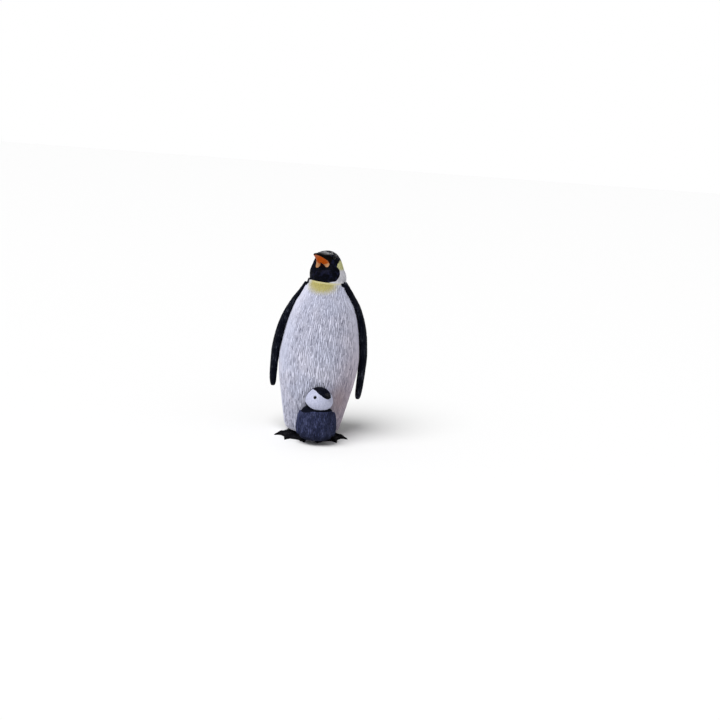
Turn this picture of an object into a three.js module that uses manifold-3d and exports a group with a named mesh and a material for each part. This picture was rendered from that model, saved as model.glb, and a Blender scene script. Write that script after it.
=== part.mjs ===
// Painted vinyl figurine of an adult penguin with its chick standing on its feet.
// Units are millimetres and +Z is up. The figure faces -Y, so its own left side is at +X.
// The adult is two moulded torso halves that meet on a flat parting face, with a head, two flippers,
// two feet and a tail that plug into sockets and are glued. The chick is a body and a head, and it
// plugs into the adult's belly. Nothing on it moves.
import * as THREE from "three";
import { mergeVertices } from "three/addons/utils/BufferGeometryUtils.js";
import Module from "manifold-3d";

// Fits that every glued joint shares
const seatGap = 0.3;
const glueLine = 0.1;
const pegClearance = 0.15;
const pegRoot = 1;

// Adult torso
const hemHeight = 2;
const torsoHeight = 62.3;
const torsoHalfWidth = 16.6;
const torsoFront = 16.2;
const torsoBack = 15.4;
const torsoSquareness = 2.15;
const torsoLean = 2.4;
const partingY = 2.5;
// Rows from hem to neck: share of the height, then of the half width, the front and the back depth
const torsoOutline = [
  [0, 0.66, 0.72, 0.7],
  [0.02, 0.7, 0.775, 0.75],
  [0.055, 0.73, 0.82, 0.8],
  [0.123, 0.785, 0.875, 0.87],
  [0.226, 0.865, 0.935, 0.94],
  [0.35, 0.955, 0.985, 0.99],
  [0.484, 1, 1, 1],
  [0.608, 0.955, 0.965, 0.965],
  [0.732, 0.87, 0.885, 0.885],
  [0.845, 0.735, 0.76, 0.76],
  [0.917, 0.6, 0.63, 0.64],
  [0.967, 0.515, 0.515, 0.53],
  [1, 0.48, 0.465, 0.475],
];
const widestShare = 0.484;

// Locating pins between the torso halves
const pinRadius = 2.2;
const pinLength = 4;
const pinShares = [0.22, 0.58];

// Head and beak
const headYaw = 34;
const headShiftX = 0.2;
const headDrift = 0.1;
const collarStep = 0.25;
const neckPegWidth = 6;
const neckPegDepth = 4;
const neckPegLength = 6;
// Rows from neck to beak tip: forward, up, lean forward in degrees, half width, crown side, throat side
const headSections = [
  [0, 2.3, 0, 7.7, 7.05, 7.35],
  [0.2, 4.5, 9, 7.2, 6.8, 7.0],
  [0.7, 7.0, 24, 6.25, 6.3, 6.1],
  [1.5, 9.25, 42, 4.95, 3.85, 4.7],
  [3.1, 9.85, 56, 3.65, 1.7, 3.5],
  [4.9, 10.1, 60, 2.75, 1.05, 2.75],
  [6.6, 10.35, 62, 2.0, 0.75, 1.9],
  [8.2, 10.55, 64, 1.3, 0.5, 1.15],
  [9.4, 10.7, 68, 0.75, 0.3, 0.6],
  [10.1, 10.75, 72, 0.25, 0.15, 0.2],
];
const beakRoot = 4;
const gapeGroove = 0.3;
const gapeDepth = 0.35;
const gapeOverrun = 2;
const eyeRadius = 0.85;
const eyeFlatness = 0.6;
const eyeSection = 4.3;

// Flippers: how far the top rises past the neck seat, length, how far forward they hang, how far the
// top reaches forward round the shoulder, and thickness at the shoulder
const flipperLeft = { rise: 0.6, length: 49.9, forward: 0, reach: 4.6, root: 1.5 };
const flipperRight = { rise: -1.2, length: 45.6, forward: 1.2, reach: 1, root: 0.8 };
const flipperTopRound = 0.1;
const flipperTuck = 0.5;
const flipperThickness = 2.8;
const flipperChord = 9.6;
const flipperRootChord = 3.6;
const flipperTipTaper = 0.45;
const flipperTipRound = 0.14;
const flipperSquareness = 2.3;
const flipperRootY = 1;
const flipperSweep = 2;
const flipperPegShare = 0.7;
const flipperPegTall = 5;
const flipperPegWide = 2.4;
const flipperPegLength = 4;
const flipperPegSink = 0.6;

// Feet
const ankleX = 6.2;
const ankleY = -3.5;
const anklePostRadius = 2;
const anklePostLength = 5;
const instepWidth = 8;
const instepLength = 9.2;
const toeRadius = 1.8;
const toeHeight = 1.7;
const webThickness = 1.2;
const webReach = 0.92;
const webHollow = 0.12;
const clawLength = 2;
// Rows from the inner toe to the outer: turn outwards in degrees, length from the ankle to the claw
const toes = [
  [-14, 13],
  [20, 11],
  [57, 8.8],
];

// Tail
const tailHalfWidth = 5.2;
const tailReach = 4.2;
const tailRootHeight = 8;
const tailGroundGap = 0.3;
const tailSquareness = 2.4;
const tailPegRadius = 1.6;
const tailPegLength = 4;
// Rows from root to tip: share of the reach, share of the drop, share of the width, half thickness
const tailOutline = [
  [-0.45, -0.2, 0.8, 2.6],
  [0.08, 0, 0.92, 2.4],
  [0.4, 0.35, 1, 1.9],
  [0.72, 0.68, 0.9, 1.4],
  [0.92, 0.9, 0.66, 1],
  [1, 1, 0.42, 0.7],
];

// Chick
const chickX = 1.8;
const chickStandOff = 2.7;
const chickHalfWidth = 7.7;
const chickDepth = 6;
const chickBodyHeight = 12.2;
const chickSquareness = 2.2;
// A folded flipper: how far it stands proud, its thickness, how wide it lies and its share of the height
const chickFlipper = { proud: 0.3, thick: 1.1, wide: 3.8, tall: 0.38 };
const chickPegLift = 6.5;
const chickPegRadius = 1.8;
const chickPegLength = 4;
const chickHeadYaw = -45;
const chickHeadHalfWidth = 5.7;
const chickHeadHeight = 8.7;
const chickHeadShift = 0.5;
const chickEyeRadius = 0.62;
const chickEyeSink = 0.35;
const chickEyeBearing = 57;
const chickEyeShare = 0.69;
const chickNeckPegRadius = 1.8;
const chickNeckPegLength = 3;
// Rows from the feet up: share of the height, share of the girth
const chickBodyOutline = [
  [0, 0.66],
  [0.05, 0.82],
  [0.14, 0.92],
  [0.3, 0.99],
  [0.45, 1],
  [0.68, 0.97],
  [0.85, 0.91],
  [0.95, 0.84],
  [1, 0.76],
];
const chickHeadOutline = [
  [0, 0.66],
  [0.1, 0.86],
  [0.26, 0.985],
  [0.42, 1],
  [0.6, 0.92],
  [0.76, 0.76],
  [0.9, 0.52],
  [0.97, 0.29],
  [1, 0.1],
];
// Rows from root to tip: share of the head's half width, share of its height, half width, half height
const chickBeak = [
  [0.7, 0.68, 1.35, 1.25],
  [0.92, 0.67, 1.05, 0.95],
  [1.04, 0.655, 0.7, 0.6],
  [1.13, 0.64, 0.2, 0.2],
];

const roundSides = 24;
const degrees = Math.PI / 180;

const wasm = await Module();
wasm.setup();

/** A closed geometry as a solid for cutting and joining. */
function solidOf(geometry) {
  const bare = geometry.clone();
  bare.deleteAttribute("normal");
  bare.deleteAttribute("uv");
  const merged = mergeVertices(bare, 1e-4);
  return new wasm.Manifold(
    new wasm.Mesh({
      numProp: 3,
      vertProperties: merged.attributes.position.array,
      triVerts: new Uint32Array(merged.index.array),
    }),
  );
}

/** A solid back as a geometry with its own normals. */
function geometryOf(solid) {
  const { vertProperties, triVerts } = solid.getMesh();
  const geometry = new THREE.BufferGeometry();
  geometry.setAttribute("position", new THREE.BufferAttribute(new Float32Array(vertProperties), 3));
  geometry.setIndex(new THREE.BufferAttribute(new Uint32Array(triVerts), 1));
  geometry.computeVertexNormals();
  return geometry;
}

/** A smooth curve through the rows of a table: column `index` as a function of the first column. */
function smoothColumn(rows, index) {
  const last = rows.length - 1;
  const slope = (i) => {
    const before = rows[Math.max(i - 1, 0)];
    const after = rows[Math.min(i + 1, last)];
    return (after[index] - before[index]) / (after[0] - before[0]);
  };
  return (at) => {
    let i = 0;
    while (i < last - 1 && at > rows[i + 1][0]) i += 1;
    const span = rows[i + 1][0] - rows[i][0];
    const u = THREE.MathUtils.clamp((at - rows[i][0]) / span, 0, 1);
    const u2 = u * u;
    const u3 = u2 * u;
    return (
      (2 * u3 - 3 * u2 + 1) * rows[i][index] +
      (u3 - 2 * u2 + u) * span * slope(i) +
      (3 * u2 - 2 * u3) * rows[i + 1][index] +
      (u3 - u2) * span * slope(i + 1)
    );
  };
}

/** A closed body through rings of points, each counter-clockwise seen from the end it grows to. */
function loft(rings) {
  const sides = rings[0].length;
  const positions = rings.flat().flatMap((p) => [p.x, p.y, p.z]);
  const centre = (ring) => ring.reduce((sum, p) => sum.add(p), new THREE.Vector3()).divideScalar(sides);
  const firstCentre = rings.length * sides;
  const lastCentre = firstCentre + 1;
  for (const ring of [rings[0], rings.at(-1)]) positions.push(...centre(ring).toArray());
  const faces = [];
  const top = (rings.length - 1) * sides;
  for (let j = 0; j < sides; j += 1) {
    const next = (j + 1) % sides;
    for (let i = 0; i < rings.length - 1; i += 1) {
      const low = i * sides;
      const high = low + sides;
      faces.push(low + j, low + next, high + next, low + j, high + next, high + j);
    }
    faces.push(firstCentre, next, j, lastCentre, top + j, top + next);
  }
  const geometry = new THREE.BufferGeometry();
  geometry.setAttribute("position", new THREE.Float32BufferAttribute(positions, 3));
  geometry.setIndex(faces);
  return geometry;
}

/** Evenly spaced numbers from `from` to `to`, both ends included. */
function steps(count, from = 0, to = 1) {
  return Array.from({ length: count + 1 }, (_, i) => from + ((to - from) * i) / count);
}

/** A ring with its own width direction, and two depths: `deep` on its positive side, else `shallow`. */
function ring(centre, across, along, halfWidth, deep, shallow, sides, squareness = 2) {
  return Array.from({ length: sides }, (_, j) => {
    const angle = (2 * Math.PI * j) / sides;
    const c = Math.cos(angle);
    const s = Math.sin(angle);
    const r = (Math.abs(c) ** squareness + Math.abs(s) ** squareness) ** (-1 / squareness);
    return centre
      .clone()
      .addScaledVector(across, halfWidth * r * c)
      .addScaledVector(along, (s > 0 ? deep : shallow) * r * s);
  });
}

/** A solid of the upright adult, tilted to its left with the torso about the middle of the hem. */
function leaned(solid) {
  return solid
    .translate([0, 0, -hemHeight])
    .rotate([0, torsoLean, 0])
    .translate([0, 0, hemHeight]);
}

/** A peg of oval section that rises from the XY plane. `wide` is along X and `deep` along Y. */
function ovalPeg(wide, deep, length) {
  const peg = new THREE.CylinderGeometry(0.5, 0.5, length, roundSides);
  return peg
    .rotateX(Math.PI / 2)
    .translate(0, 0, length / 2)
    .scale(wide, deep, 1);
}

/** A round peg that rises from the XY plane. */
function roundPeg(radius, length) {
  return ovalPeg(2 * radius, 2 * radius, length);
}

const X = new THREE.Vector3(1, 0, 0);
const Y = new THREE.Vector3(0, 1, 0);
const Z = new THREE.Vector3(0, 0, 1);

const torsoWidthShare = smoothColumn(torsoOutline, 1);
const torsoFrontShare = smoothColumn(torsoOutline, 2);
const torsoBackShare = smoothColumn(torsoOutline, 3);
const torsoZ = (share) => hemHeight + torsoHeight * share;
const torsoShare = (z) => (z - hemHeight) / torsoHeight;
const torsoWidthAt = (z) => torsoHalfWidth * torsoWidthShare(torsoShare(z));
const torsoFrontAt = (z) => torsoFront * torsoFrontShare(torsoShare(z));
const torsoBackAt = (z) => torsoBack * torsoBackShare(torsoShare(z));
const neckZ = torsoZ(1);
const chickBaseZ = toeHeight + seatGap;
const chickNeckZ = chickBaseZ + chickBodyHeight;
const chickY = -(torsoFrontAt(chickNeckZ) + chickStandOff);

/** The whole torso before it is parted, grown by `extra` all round to cut clearance in a neighbour. */
function torsoSolid(extra = 0) {
  const sides = 44;
  const shares = [...steps(3, 0, 0.06), ...steps(20, 0.1, 0.92), ...steps(4, 0.945, 1)];
  const rings = shares.map((share) => {
    const end = share === 0 ? -extra : share === 1 ? extra : 0;
    return ring(
      new THREE.Vector3(0, 0, torsoZ(share) + end),
      X,
      Y,
      torsoHalfWidth * torsoWidthShare(share) + extra,
      torsoBack * torsoBackShare(share) + extra,
      torsoFront * torsoFrontShare(share) + extra,
      sides,
      torsoSquareness,
    );
  });
  return leaned(solidOf(loft(rings)));
}

/** Everything on one side of the parting face, as a block big enough to cut the torso with. */
function parted(side) {
  const reach = 4 * Math.max(torsoHalfWidth, torsoFront, torsoBack);
  const tall = 2 * (torsoHeight + hemHeight);
  const face = side > 0 ? partingY + glueLine : partingY;
  const block = new THREE.BoxGeometry(reach, reach, tall).translate(0, face + (side * reach) / 2, 0);
  return solidOf(block.translate(0, 0, tall / 4));
}

/** A locating pin that stands off the parting face towards the front, or the socket for it. */
function locatingPin(share, clearance) {
  const length = pinLength + glueLine + clearance;
  const radius = pinRadius + clearance;
  const pin = new THREE.CylinderGeometry(radius, radius, length + pegRoot, roundSides);
  pin.translate(0, partingY + glueLine + pegRoot - (length + pegRoot) / 2, torsoZ(share));
  return leaned(solidOf(pin));
}

/** The flipper's peg, or with clearance its socket. It lies on the parting face, along X. */
function flipperPeg(side, clearance) {
  const height = torsoZ(flipperPegShare);
  const surface = torsoWidthAt(height);
  const outer = surface + seatGap + flipperPegSink;
  const inner = surface - flipperPegLength - clearance;
  const peg = ovalPeg(flipperPegTall + 2 * clearance, flipperPegWide + 2 * clearance, outer - inner);
  peg.rotateY(Math.PI / 2).translate(inner, partingY, height);
  return leaned(solidOf(side > 0 ? peg : peg.rotateZ(Math.PI).translate(0, 2 * partingY, 0)));
}

/** The head's peg, or with clearance its socket in the top of the torso. */
function neckPeg(clearance) {
  const length = neckPegLength + seatGap + clearance + pegRoot;
  const peg = ovalPeg(neckPegWidth + 2 * clearance, neckPegDepth + 2 * clearance, length);
  return leaned(solidOf(peg.translate(0, partingY, neckZ + seatGap + pegRoot - length)));
}

/** An ankle post, or with clearance its socket in the underside of the torso. */
function anklePost(side, clearance) {
  const length = hemHeight + anklePostLength + clearance - toeHeight / 2;
  const post = roundPeg(anklePostRadius + clearance, length);
  return solidOf(post.translate(side * ankleX, ankleY, toeHeight / 2));
}

/** The tail's peg, or with clearance its socket in the back of the torso. */
function tailPeg(clearance) {
  const surface = torsoBackAt(tailRootHeight);
  const peg = roundPeg(tailPegRadius + clearance, tailPegLength + seatGap + clearance + pegRoot);
  peg.rotateX(-Math.PI / 2).translate(0, surface - tailPegLength - clearance, tailRootHeight);
  return solidOf(peg);
}

/** The chick's peg, or with clearance its socket in the belly. */
function chickPeg(clearance) {
  const height = chickBaseZ + chickPegLift;
  const surface = -torsoFrontAt(height);
  const peg = roundPeg(chickPegRadius + clearance, chickPegLength + seatGap + clearance + pegRoot);
  peg.rotateX(Math.PI / 2).translate(chickX, surface + chickPegLength + clearance, height);
  return solidOf(peg);
}

/** The chick's neck peg, or with clearance its socket in the top of the body. */
function chickNeckPeg(clearance) {
  const length = chickNeckPegLength + seatGap + clearance + pegRoot;
  const peg = roundPeg(chickNeckPegRadius + clearance, length);
  return solidOf(peg.translate(chickX, chickY, chickNeckZ + seatGap + pegRoot - length));
}

/** The white front half of the torso, with every socket that opens on it. */
function torsoFrontHalf() {
  let half = torsoSolid().intersect(parted(-1));
  for (const share of pinShares) half = half.subtract(locatingPin(share, pegClearance));
  for (const side of [-1, 1]) {
    half = half.subtract(flipperPeg(side, pegClearance)).subtract(anklePost(side, pegClearance));
  }
  return half.subtract(neckPeg(pegClearance)).subtract(chickPeg(pegClearance));
}

/** The dark back half of the torso, with the locating pins and its half of each shared socket. */
function torsoBackHalf() {
  let half = torsoSolid().intersect(parted(1));
  for (const share of pinShares) half = half.add(locatingPin(share, 0));
  for (const side of [-1, 1]) half = half.subtract(flipperPeg(side, pegClearance));
  return half.subtract(neckPeg(pegClearance)).subtract(tailPeg(pegClearance));
}

/** The head's columns as curves over its rows, from a base that sits just inside the torso's neck. */
function headCurves() {
  const base = [
    0,
    0,
    0,
    torsoHalfWidth * torsoWidthShare(1) - collarStep,
    torsoBack * torsoBackShare(1) - collarStep,
    torsoFront * torsoFrontShare(1) - collarStep,
  ];
  const rows = [base, ...headSections].map((row, i) => [i, ...row]);
  return [1, 2, 3, 4, 5, 6].map((column) => smoothColumn(rows, column));
}

/** Head rings in the head's own frame, where it faces -Y and its base is at the origin. */
function headRings(inset = 0) {
  const sides = 26;
  const ringsPerRow = 3;
  const [forward, up, lean, halfWidth, crown, throat] = headCurves();
  const last = headSections.length;
  return steps(ringsPerRow * last, 0, last).map((at) => {
    const angle = lean(at) * degrees;
    const crownwards = new THREE.Vector3(0, Math.cos(angle), Math.sin(angle));
    const centre = new THREE.Vector3(0, -forward(at), up(at));
    const [wide, deep, shallow] = [halfWidth, crown, throat].map((size) => Math.max(size(at) - inset, 0.1));
    return ring(centre, X, crownwards, wide, deep, shallow, sides);
  });
}

/** The line of the closed mouth, as a thin curved slab that only reaches into the beak's skin. */
function gapeCut() {
  const beak = headSections.slice(beakRoot);
  const line = beak.map(([forward, up]) => new THREE.Vector2(forward, up - gapeGroove));
  const tip = line.at(-1);
  line.push(new THREE.Vector2(tip.x + gapeOverrun, tip.y));
  const upper = line.map((p) => new THREE.Vector2(p.x, p.y + gapeGroove / 2));
  const lower = line.map((p) => new THREE.Vector2(p.x, p.y - gapeGroove / 2)).reverse();
  const width = 2 * Math.max(...beak.map((row) => row[3])) + gapeOverrun;
  const slab = new THREE.ExtrudeGeometry(new THREE.Shape([...upper, ...lower]), {
    depth: width,
    bevelEnabled: false,
  });
  slab.translate(0, 0, -width / 2).rotateX(Math.PI / 2).rotateZ(-Math.PI / 2);
  return solidOf(slab).subtract(solidOf(loft(headRings(gapeDepth))));
}

/** The head moulding with its beak, eyes and neck peg. It drifts back upright above the leaning neck. */
function head() {
  let skull = solidOf(loft(headRings())).subtract(gapeCut());
  const [forward, up, , halfWidth] = headCurves();
  const eye = new THREE.SphereGeometry(eyeRadius, 14, 10).scale(eyeFlatness, 1, 1);
  for (const side of [-1, 1]) {
    const x = side * (halfWidth(eyeSection) - eyeRadius * eyeFlatness * 0.6);
    skull = skull.add(solidOf(eye.clone().translate(x, -forward(eyeSection), up(eyeSection))));
  }
  const drift = new THREE.Matrix4().set(1, 0, -headDrift, 0, 0, 1, 0, 0, 0, 0, 1, 0, 0, 0, 0, 1);
  const turned = skull.rotate([0, 0, -headYaw]).transform(drift.elements);
  return leaned(turned.translate([headShiftX, 0, neckZ + seatGap])).add(neckPeg(0));
}

/** One flipper: it follows the torso's side down to the widest point and hangs straight from there. */
function flipper(side, { rise, length, forward, reach, root }) {
  const widest = torsoZ(widestShare);
  const top = neckZ + rise;
  const tipZ = top - length;
  const { lerp, smoothstep } = THREE.MathUtils;
  const lineX = (z, thickness, ahead) => {
    const standOff = seatGap + thickness / 2;
    const round = (1 - (ahead / torsoFrontAt(z)) ** torsoSquareness) ** (1 / torsoSquareness);
    if (z > widest) return torsoWidthAt(z) * round + standOff;
    return torsoHalfWidth + standOff - flipperTuck * ((widest - z) / (widest - tipZ)) ** 2;
  };
  const shares = [...steps(5, 0, flipperTopRound), ...steps(19, 0.14, 1)];
  const rings = shares.map((share) => {
    const z = lerp(top, tipZ, share);
    const thickness = lerp(root, flipperThickness, smoothstep(share, 0, 0.5));
    const chord = lerp(flipperRootChord, flipperChord, smoothstep(share, 0, 0.42));
    const taper = 1 - flipperTipTaper * smoothstep(share, 0.5, 1);
    const past = Math.max(share - 1 + flipperTipRound, 0) / flipperTipRound;
    const before = Math.max(1 - share / flipperTopRound, 0);
    const rounding = Math.sqrt(Math.max(1 - past ** 2 - before ** 2, 0.02));
    const ahead = reach * (1 - smoothstep(share, 0, 0.3));
    const x = lineX(z, thickness, ahead);
    const slope = lineX(z + 0.5, thickness, ahead) - lineX(z - 0.5, thickness, ahead);
    const y = flipperRootY * (1 - ahead / (reach + flipperRootY)) - forward * smoothstep(share, 0, 0.4);
    const centre = new THREE.Vector3(side * x, y - ahead + flipperSweep * share ** 2, z);
    const bearing = Math.atan2(ahead / torsoFrontAt(z) ** 2, x / torsoWidthAt(z) ** 2);
    const [c, s] = [Math.cos(bearing), Math.sin(bearing)];
    const across = new THREE.Vector3(side * c, -s, -slope).normalize();
    const halfChord = (chord / 2) * taper * rounding;
    const backward = new THREE.Vector3(-s, -side * c, 0);
    const halfThickness = (thickness / 2) * Math.sqrt(rounding);
    return ring(centre, across, backward, halfThickness, halfChord, halfChord, 18, flipperSquareness);
  });
  return leaned(solidOf(loft(rings))).subtract(torsoSolid(seatGap)).add(flipperPeg(side, 0));
}

/** A toe with its claw, lying on the ground along -Y from the ankle. */
function toe(length) {
  const rows = [
    [0, 1, 1],
    [0.45 * length, 0.95, 0.92],
    [0.8 * length, 0.92, 0.85],
    [length, 0.7, 0.66],
    [length + 0.25 * clawLength, 0.42, 0.52],
    [length + clawLength, 0.1, 0.12],
  ];
  const rings = rows.map(([along, wide, high]) => {
    const halfHeight = toeHeight * high;
    return ring(new THREE.Vector3(0, -along, 0), X, Z, toeRadius * wide, halfHeight, halfHeight, 14);
  });
  return solidOf(loft(rings));
}

/** The web between the toes, as a flat sheet with a hollow edge. */
function web() {
  const ankle = new THREE.Vector2(0, 0);
  const tips = toes.map(([turn, length]) => {
    const angle = turn * degrees;
    return new THREE.Vector2(Math.sin(angle), -Math.cos(angle)).multiplyScalar(webReach * length);
  });
  const outline = new THREE.Shape();
  outline.moveTo(-toeRadius, toeRadius);
  outline.lineTo(tips[0].x, tips[0].y);
  for (let i = 1; i < tips.length; i += 1) {
    const notch = tips[i - 1].clone().add(tips[i]).multiplyScalar(0.5).lerp(ankle, webHollow);
    outline.quadraticCurveTo(notch.x, notch.y, tips[i].x, tips[i].y);
  }
  outline.lineTo(toeRadius, toeRadius);
  return solidOf(
    new THREE.ExtrudeGeometry(outline, { depth: webThickness, bevelEnabled: false, curveSegments: 6 }),
  );
}

/** What is left of a piece above the ground, cut flat where it stands. */
function standing(piece) {
  return piece.trimByPlane([0, 0, 1], 0);
}

/** One webbed foot, cut flat at the sole and cleared from the torso above it, with its ankle post. */
function foot(side) {
  let paw = web();
  for (const [turn, length] of toes) paw = paw.add(toe(length).rotate([0, 0, turn]));
  const instep = new THREE.SphereGeometry(1, 20, 12).scale(instepWidth / 2, instepLength / 2, 2 * toeHeight);
  paw = standing(paw.add(solidOf(instep))).translate([ankleX, ankleY, 0]);
  const placed = paw.subtract(torsoSolid(seatGap)).add(anklePost(1, 0));
  return side > 0 ? placed : placed.mirror([1, 0, 0]);
}

/** The short stiff tail, which props the figure from behind. */
function tail() {
  const surface = torsoBackAt(tailRootHeight);
  const drop = tailRootHeight - tailGroundGap;
  const downBack = new THREE.Vector3(0, tailRootHeight, tailReach).normalize();
  const rings = tailOutline.map(([out, down, wide, thick]) => {
    const centre = new THREE.Vector3(0, surface + out * tailReach, tailRootHeight - down * drop);
    return ring(centre, X.clone().negate(), downBack, tailHalfWidth * wide, thick, thick, 20, tailSquareness);
  });
  return standing(solidOf(loft(rings))).subtract(torsoSolid(seatGap)).add(tailPeg(0));
}

/** The chick's downy body with its folded flippers, backed against the adult's belly. */
function chickBody() {
  const girth = smoothColumn(chickBodyOutline, 1);
  const rings = steps(14).map((share) => {
    const centre = new THREE.Vector3(chickX, chickY, chickBaseZ + chickBodyHeight * share);
    const deep = chickDepth * girth(share);
    return ring(centre, X, Y, chickHalfWidth * girth(share), deep, deep, 32, chickSquareness);
  });
  let body = solidOf(loft(rings));
  const { proud, thick, wide, tall } = chickFlipper;
  const flap = new THREE.SphereGeometry(1, 16, 12).scale(thick, wide, tall * chickBodyHeight);
  for (const side of [-1, 1]) {
    const x = chickX + side * (chickHalfWidth - thick + proud);
    body = body.add(solidOf(flap.clone().translate(x, chickY, chickBaseZ + chickBodyHeight / 2)));
  }
  return body.subtract(torsoSolid(seatGap)).subtract(chickNeckPeg(pegClearance)).add(chickPeg(0));
}

/** The chick's round head with its short beak, turned to one side. */
function chickHead() {
  const w = chickHeadHalfWidth;
  const girth = smoothColumn(chickHeadOutline, 1);
  const rings = steps(16).map((share) => {
    const centre = new THREE.Vector3(0, 0, chickHeadHeight * share);
    const half = w * girth(share);
    return ring(centre, X, Y, half, 0.94 * half, 0.98 * half, 28);
  });
  const beak = chickBeak.map(([out, high, wide, tall]) => {
    return ring(new THREE.Vector3(0, -w * out, chickHeadHeight * high), X, Z, wide, tall, tall, 14);
  });
  let skull = solidOf(loft(rings)).add(solidOf(loft(beak)));
  const eye = new THREE.SphereGeometry(chickEyeRadius, 12, 8);
  const reach = w * girth(chickEyeShare) - chickEyeSink;
  for (const side of [-1, 1]) {
    const bearing = side * chickEyeBearing * degrees;
    const x = reach * Math.sin(bearing);
    const y = -reach * Math.cos(bearing);
    skull = skull.add(solidOf(eye.clone().translate(x, y, chickHeadHeight * chickEyeShare)));
  }
  return skull
    .rotate([0, 0, -chickHeadYaw])
    .translate([chickX + chickHeadShift, chickY, chickNeckZ + seatGap])
    .subtract(torsoSolid(seatGap))
    .add(chickNeckPeg(0));
}

const paints = {
  white: new THREE.MeshStandardMaterial({ color: "#cfcddd", roughness: 0.6, metalness: 0 }),
  black: new THREE.MeshStandardMaterial({ color: "#0c0c12", roughness: 0.5, metalness: 0 }),
  grey: new THREE.MeshStandardMaterial({ color: "#3b3d55", roughness: 0.65, metalness: 0 }),
  face: new THREE.MeshStandardMaterial({ color: "#d3d6e4", roughness: 0.6, metalness: 0 }),
};

const figurine = new THREE.Group();

/** Adds one moulding to the figurine as a named mesh. */
function place(name, solid, paint) {
  const mesh = new THREE.Mesh(geometryOf(solid), paint);
  mesh.name = name;
  figurine.add(mesh);
}

place("torso_front", torsoFrontHalf(), paints.white);
place("torso_back", torsoBackHalf(), paints.black);
place("head", head(), paints.black);
place("flipper_left", flipper(1, flipperLeft), paints.black);
place("flipper_right", flipper(-1, flipperRight), paints.black);
place("foot_left", foot(1), paints.black);
place("foot_right", foot(-1), paints.black);
place("tail", tail(), paints.black);
place("chick_body", chickBody(), paints.grey);
place("chick_head", chickHead(), paints.face);

// The origin is the middle of the footprint, on the ground.
const footprint = new THREE.Box3().setFromObject(figurine, true);
figurine.position.set(
  -(footprint.min.x + footprint.max.x) / 2,
  -(footprint.min.y + footprint.max.y) / 2,
  -footprint.min.z,
);

export default figurine;
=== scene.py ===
"""Painted vinyl penguin with its chick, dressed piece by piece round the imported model.

Pieces are shaped in millimetres in the maker's own frame, where the adult faces -Y and stands on
its soles at zero height. Each one goes into the row's frame, in metres, as it is finished.
"""
import math

import bpy
import numpy as np
from mathutils import Matrix, Vector


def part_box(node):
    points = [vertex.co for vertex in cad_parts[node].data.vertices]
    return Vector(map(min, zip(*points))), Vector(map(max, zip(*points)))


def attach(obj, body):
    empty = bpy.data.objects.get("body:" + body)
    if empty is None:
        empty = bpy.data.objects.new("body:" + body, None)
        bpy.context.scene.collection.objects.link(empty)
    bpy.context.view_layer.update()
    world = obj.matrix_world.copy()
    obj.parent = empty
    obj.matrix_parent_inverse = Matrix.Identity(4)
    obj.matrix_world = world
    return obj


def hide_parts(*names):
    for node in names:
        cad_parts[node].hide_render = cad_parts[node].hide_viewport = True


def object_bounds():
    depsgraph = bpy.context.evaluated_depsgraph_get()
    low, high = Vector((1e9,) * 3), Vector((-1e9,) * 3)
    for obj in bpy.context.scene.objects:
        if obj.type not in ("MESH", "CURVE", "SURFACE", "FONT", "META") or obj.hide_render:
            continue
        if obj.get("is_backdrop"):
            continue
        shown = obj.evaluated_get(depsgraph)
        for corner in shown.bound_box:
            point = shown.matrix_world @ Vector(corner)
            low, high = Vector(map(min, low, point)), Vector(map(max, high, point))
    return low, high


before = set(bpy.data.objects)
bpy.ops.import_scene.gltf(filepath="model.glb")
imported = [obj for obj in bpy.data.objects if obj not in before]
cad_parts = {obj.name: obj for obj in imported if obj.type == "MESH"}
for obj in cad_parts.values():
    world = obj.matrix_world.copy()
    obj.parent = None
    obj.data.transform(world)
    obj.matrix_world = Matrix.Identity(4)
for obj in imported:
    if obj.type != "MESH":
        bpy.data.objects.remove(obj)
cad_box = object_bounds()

MM = 0.001
scene = bpy.context.scene

# Adult torso, as the solids have it
HEM = 2.0
TORSO_HEIGHT = 62.3
TORSO_HALF_WIDTH = 16.6
TORSO_FRONT = 16.2
TORSO_BACK = 15.4
TORSO_SQUARENESS = 2.15
TORSO_LEAN = math.radians(2.4)
PARTING_Y = 2.5
GLUE_LINE = 0.1
SEAT_GAP = 0.3
# Rows from hem to neck: share of the height, then of the half width, the front and the back depth
TORSO_OUTLINE = [
    [0, 0.66, 0.72, 0.7],
    [0.02, 0.7, 0.775, 0.75],
    [0.055, 0.73, 0.82, 0.8],
    [0.123, 0.785, 0.875, 0.87],
    [0.226, 0.865, 0.935, 0.94],
    [0.35, 0.955, 0.985, 0.99],
    [0.484, 1, 1, 1],
    [0.608, 0.955, 0.965, 0.965],
    [0.732, 0.87, 0.885, 0.885],
    [0.845, 0.735, 0.76, 0.76],
    [0.917, 0.6, 0.63, 0.64],
    [0.967, 0.515, 0.515, 0.53],
    [1, 0.48, 0.465, 0.475],
]
WIDEST = 0.484

# Head
HEAD_YAW = math.radians(34)
HEAD_SHIFT_X = 0.2
HEAD_DRIFT = 0.1
HEAD_SINK = 0.7
COLLAR_STEP = 0.25
# Rows from neck to beak tip: forward, up, lean forward in degrees, half width, crown, throat
HEAD_SECTIONS = [
    [0, 2.3, 0, 7.7, 7.05, 7.35],
    [0.2, 4.5, 9, 7.2, 6.8, 7.0],
    [0.7, 7.0, 24, 6.25, 6.3, 6.1],
    [1.5, 9.25, 42, 4.95, 3.85, 4.7],
    [3.1, 9.85, 56, 3.65, 1.7, 3.5],
    [4.9, 10.1, 60, 2.75, 1.05, 2.75],
    [6.6, 10.35, 62, 2.0, 0.75, 1.9],
    [8.2, 10.55, 64, 1.3, 0.5, 1.15],
    [9.4, 10.7, 68, 0.75, 0.3, 0.6],
    [10.1, 10.75, 72, 0.25, 0.15, 0.2],
]
EYE_SECTION = 4.3
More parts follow.
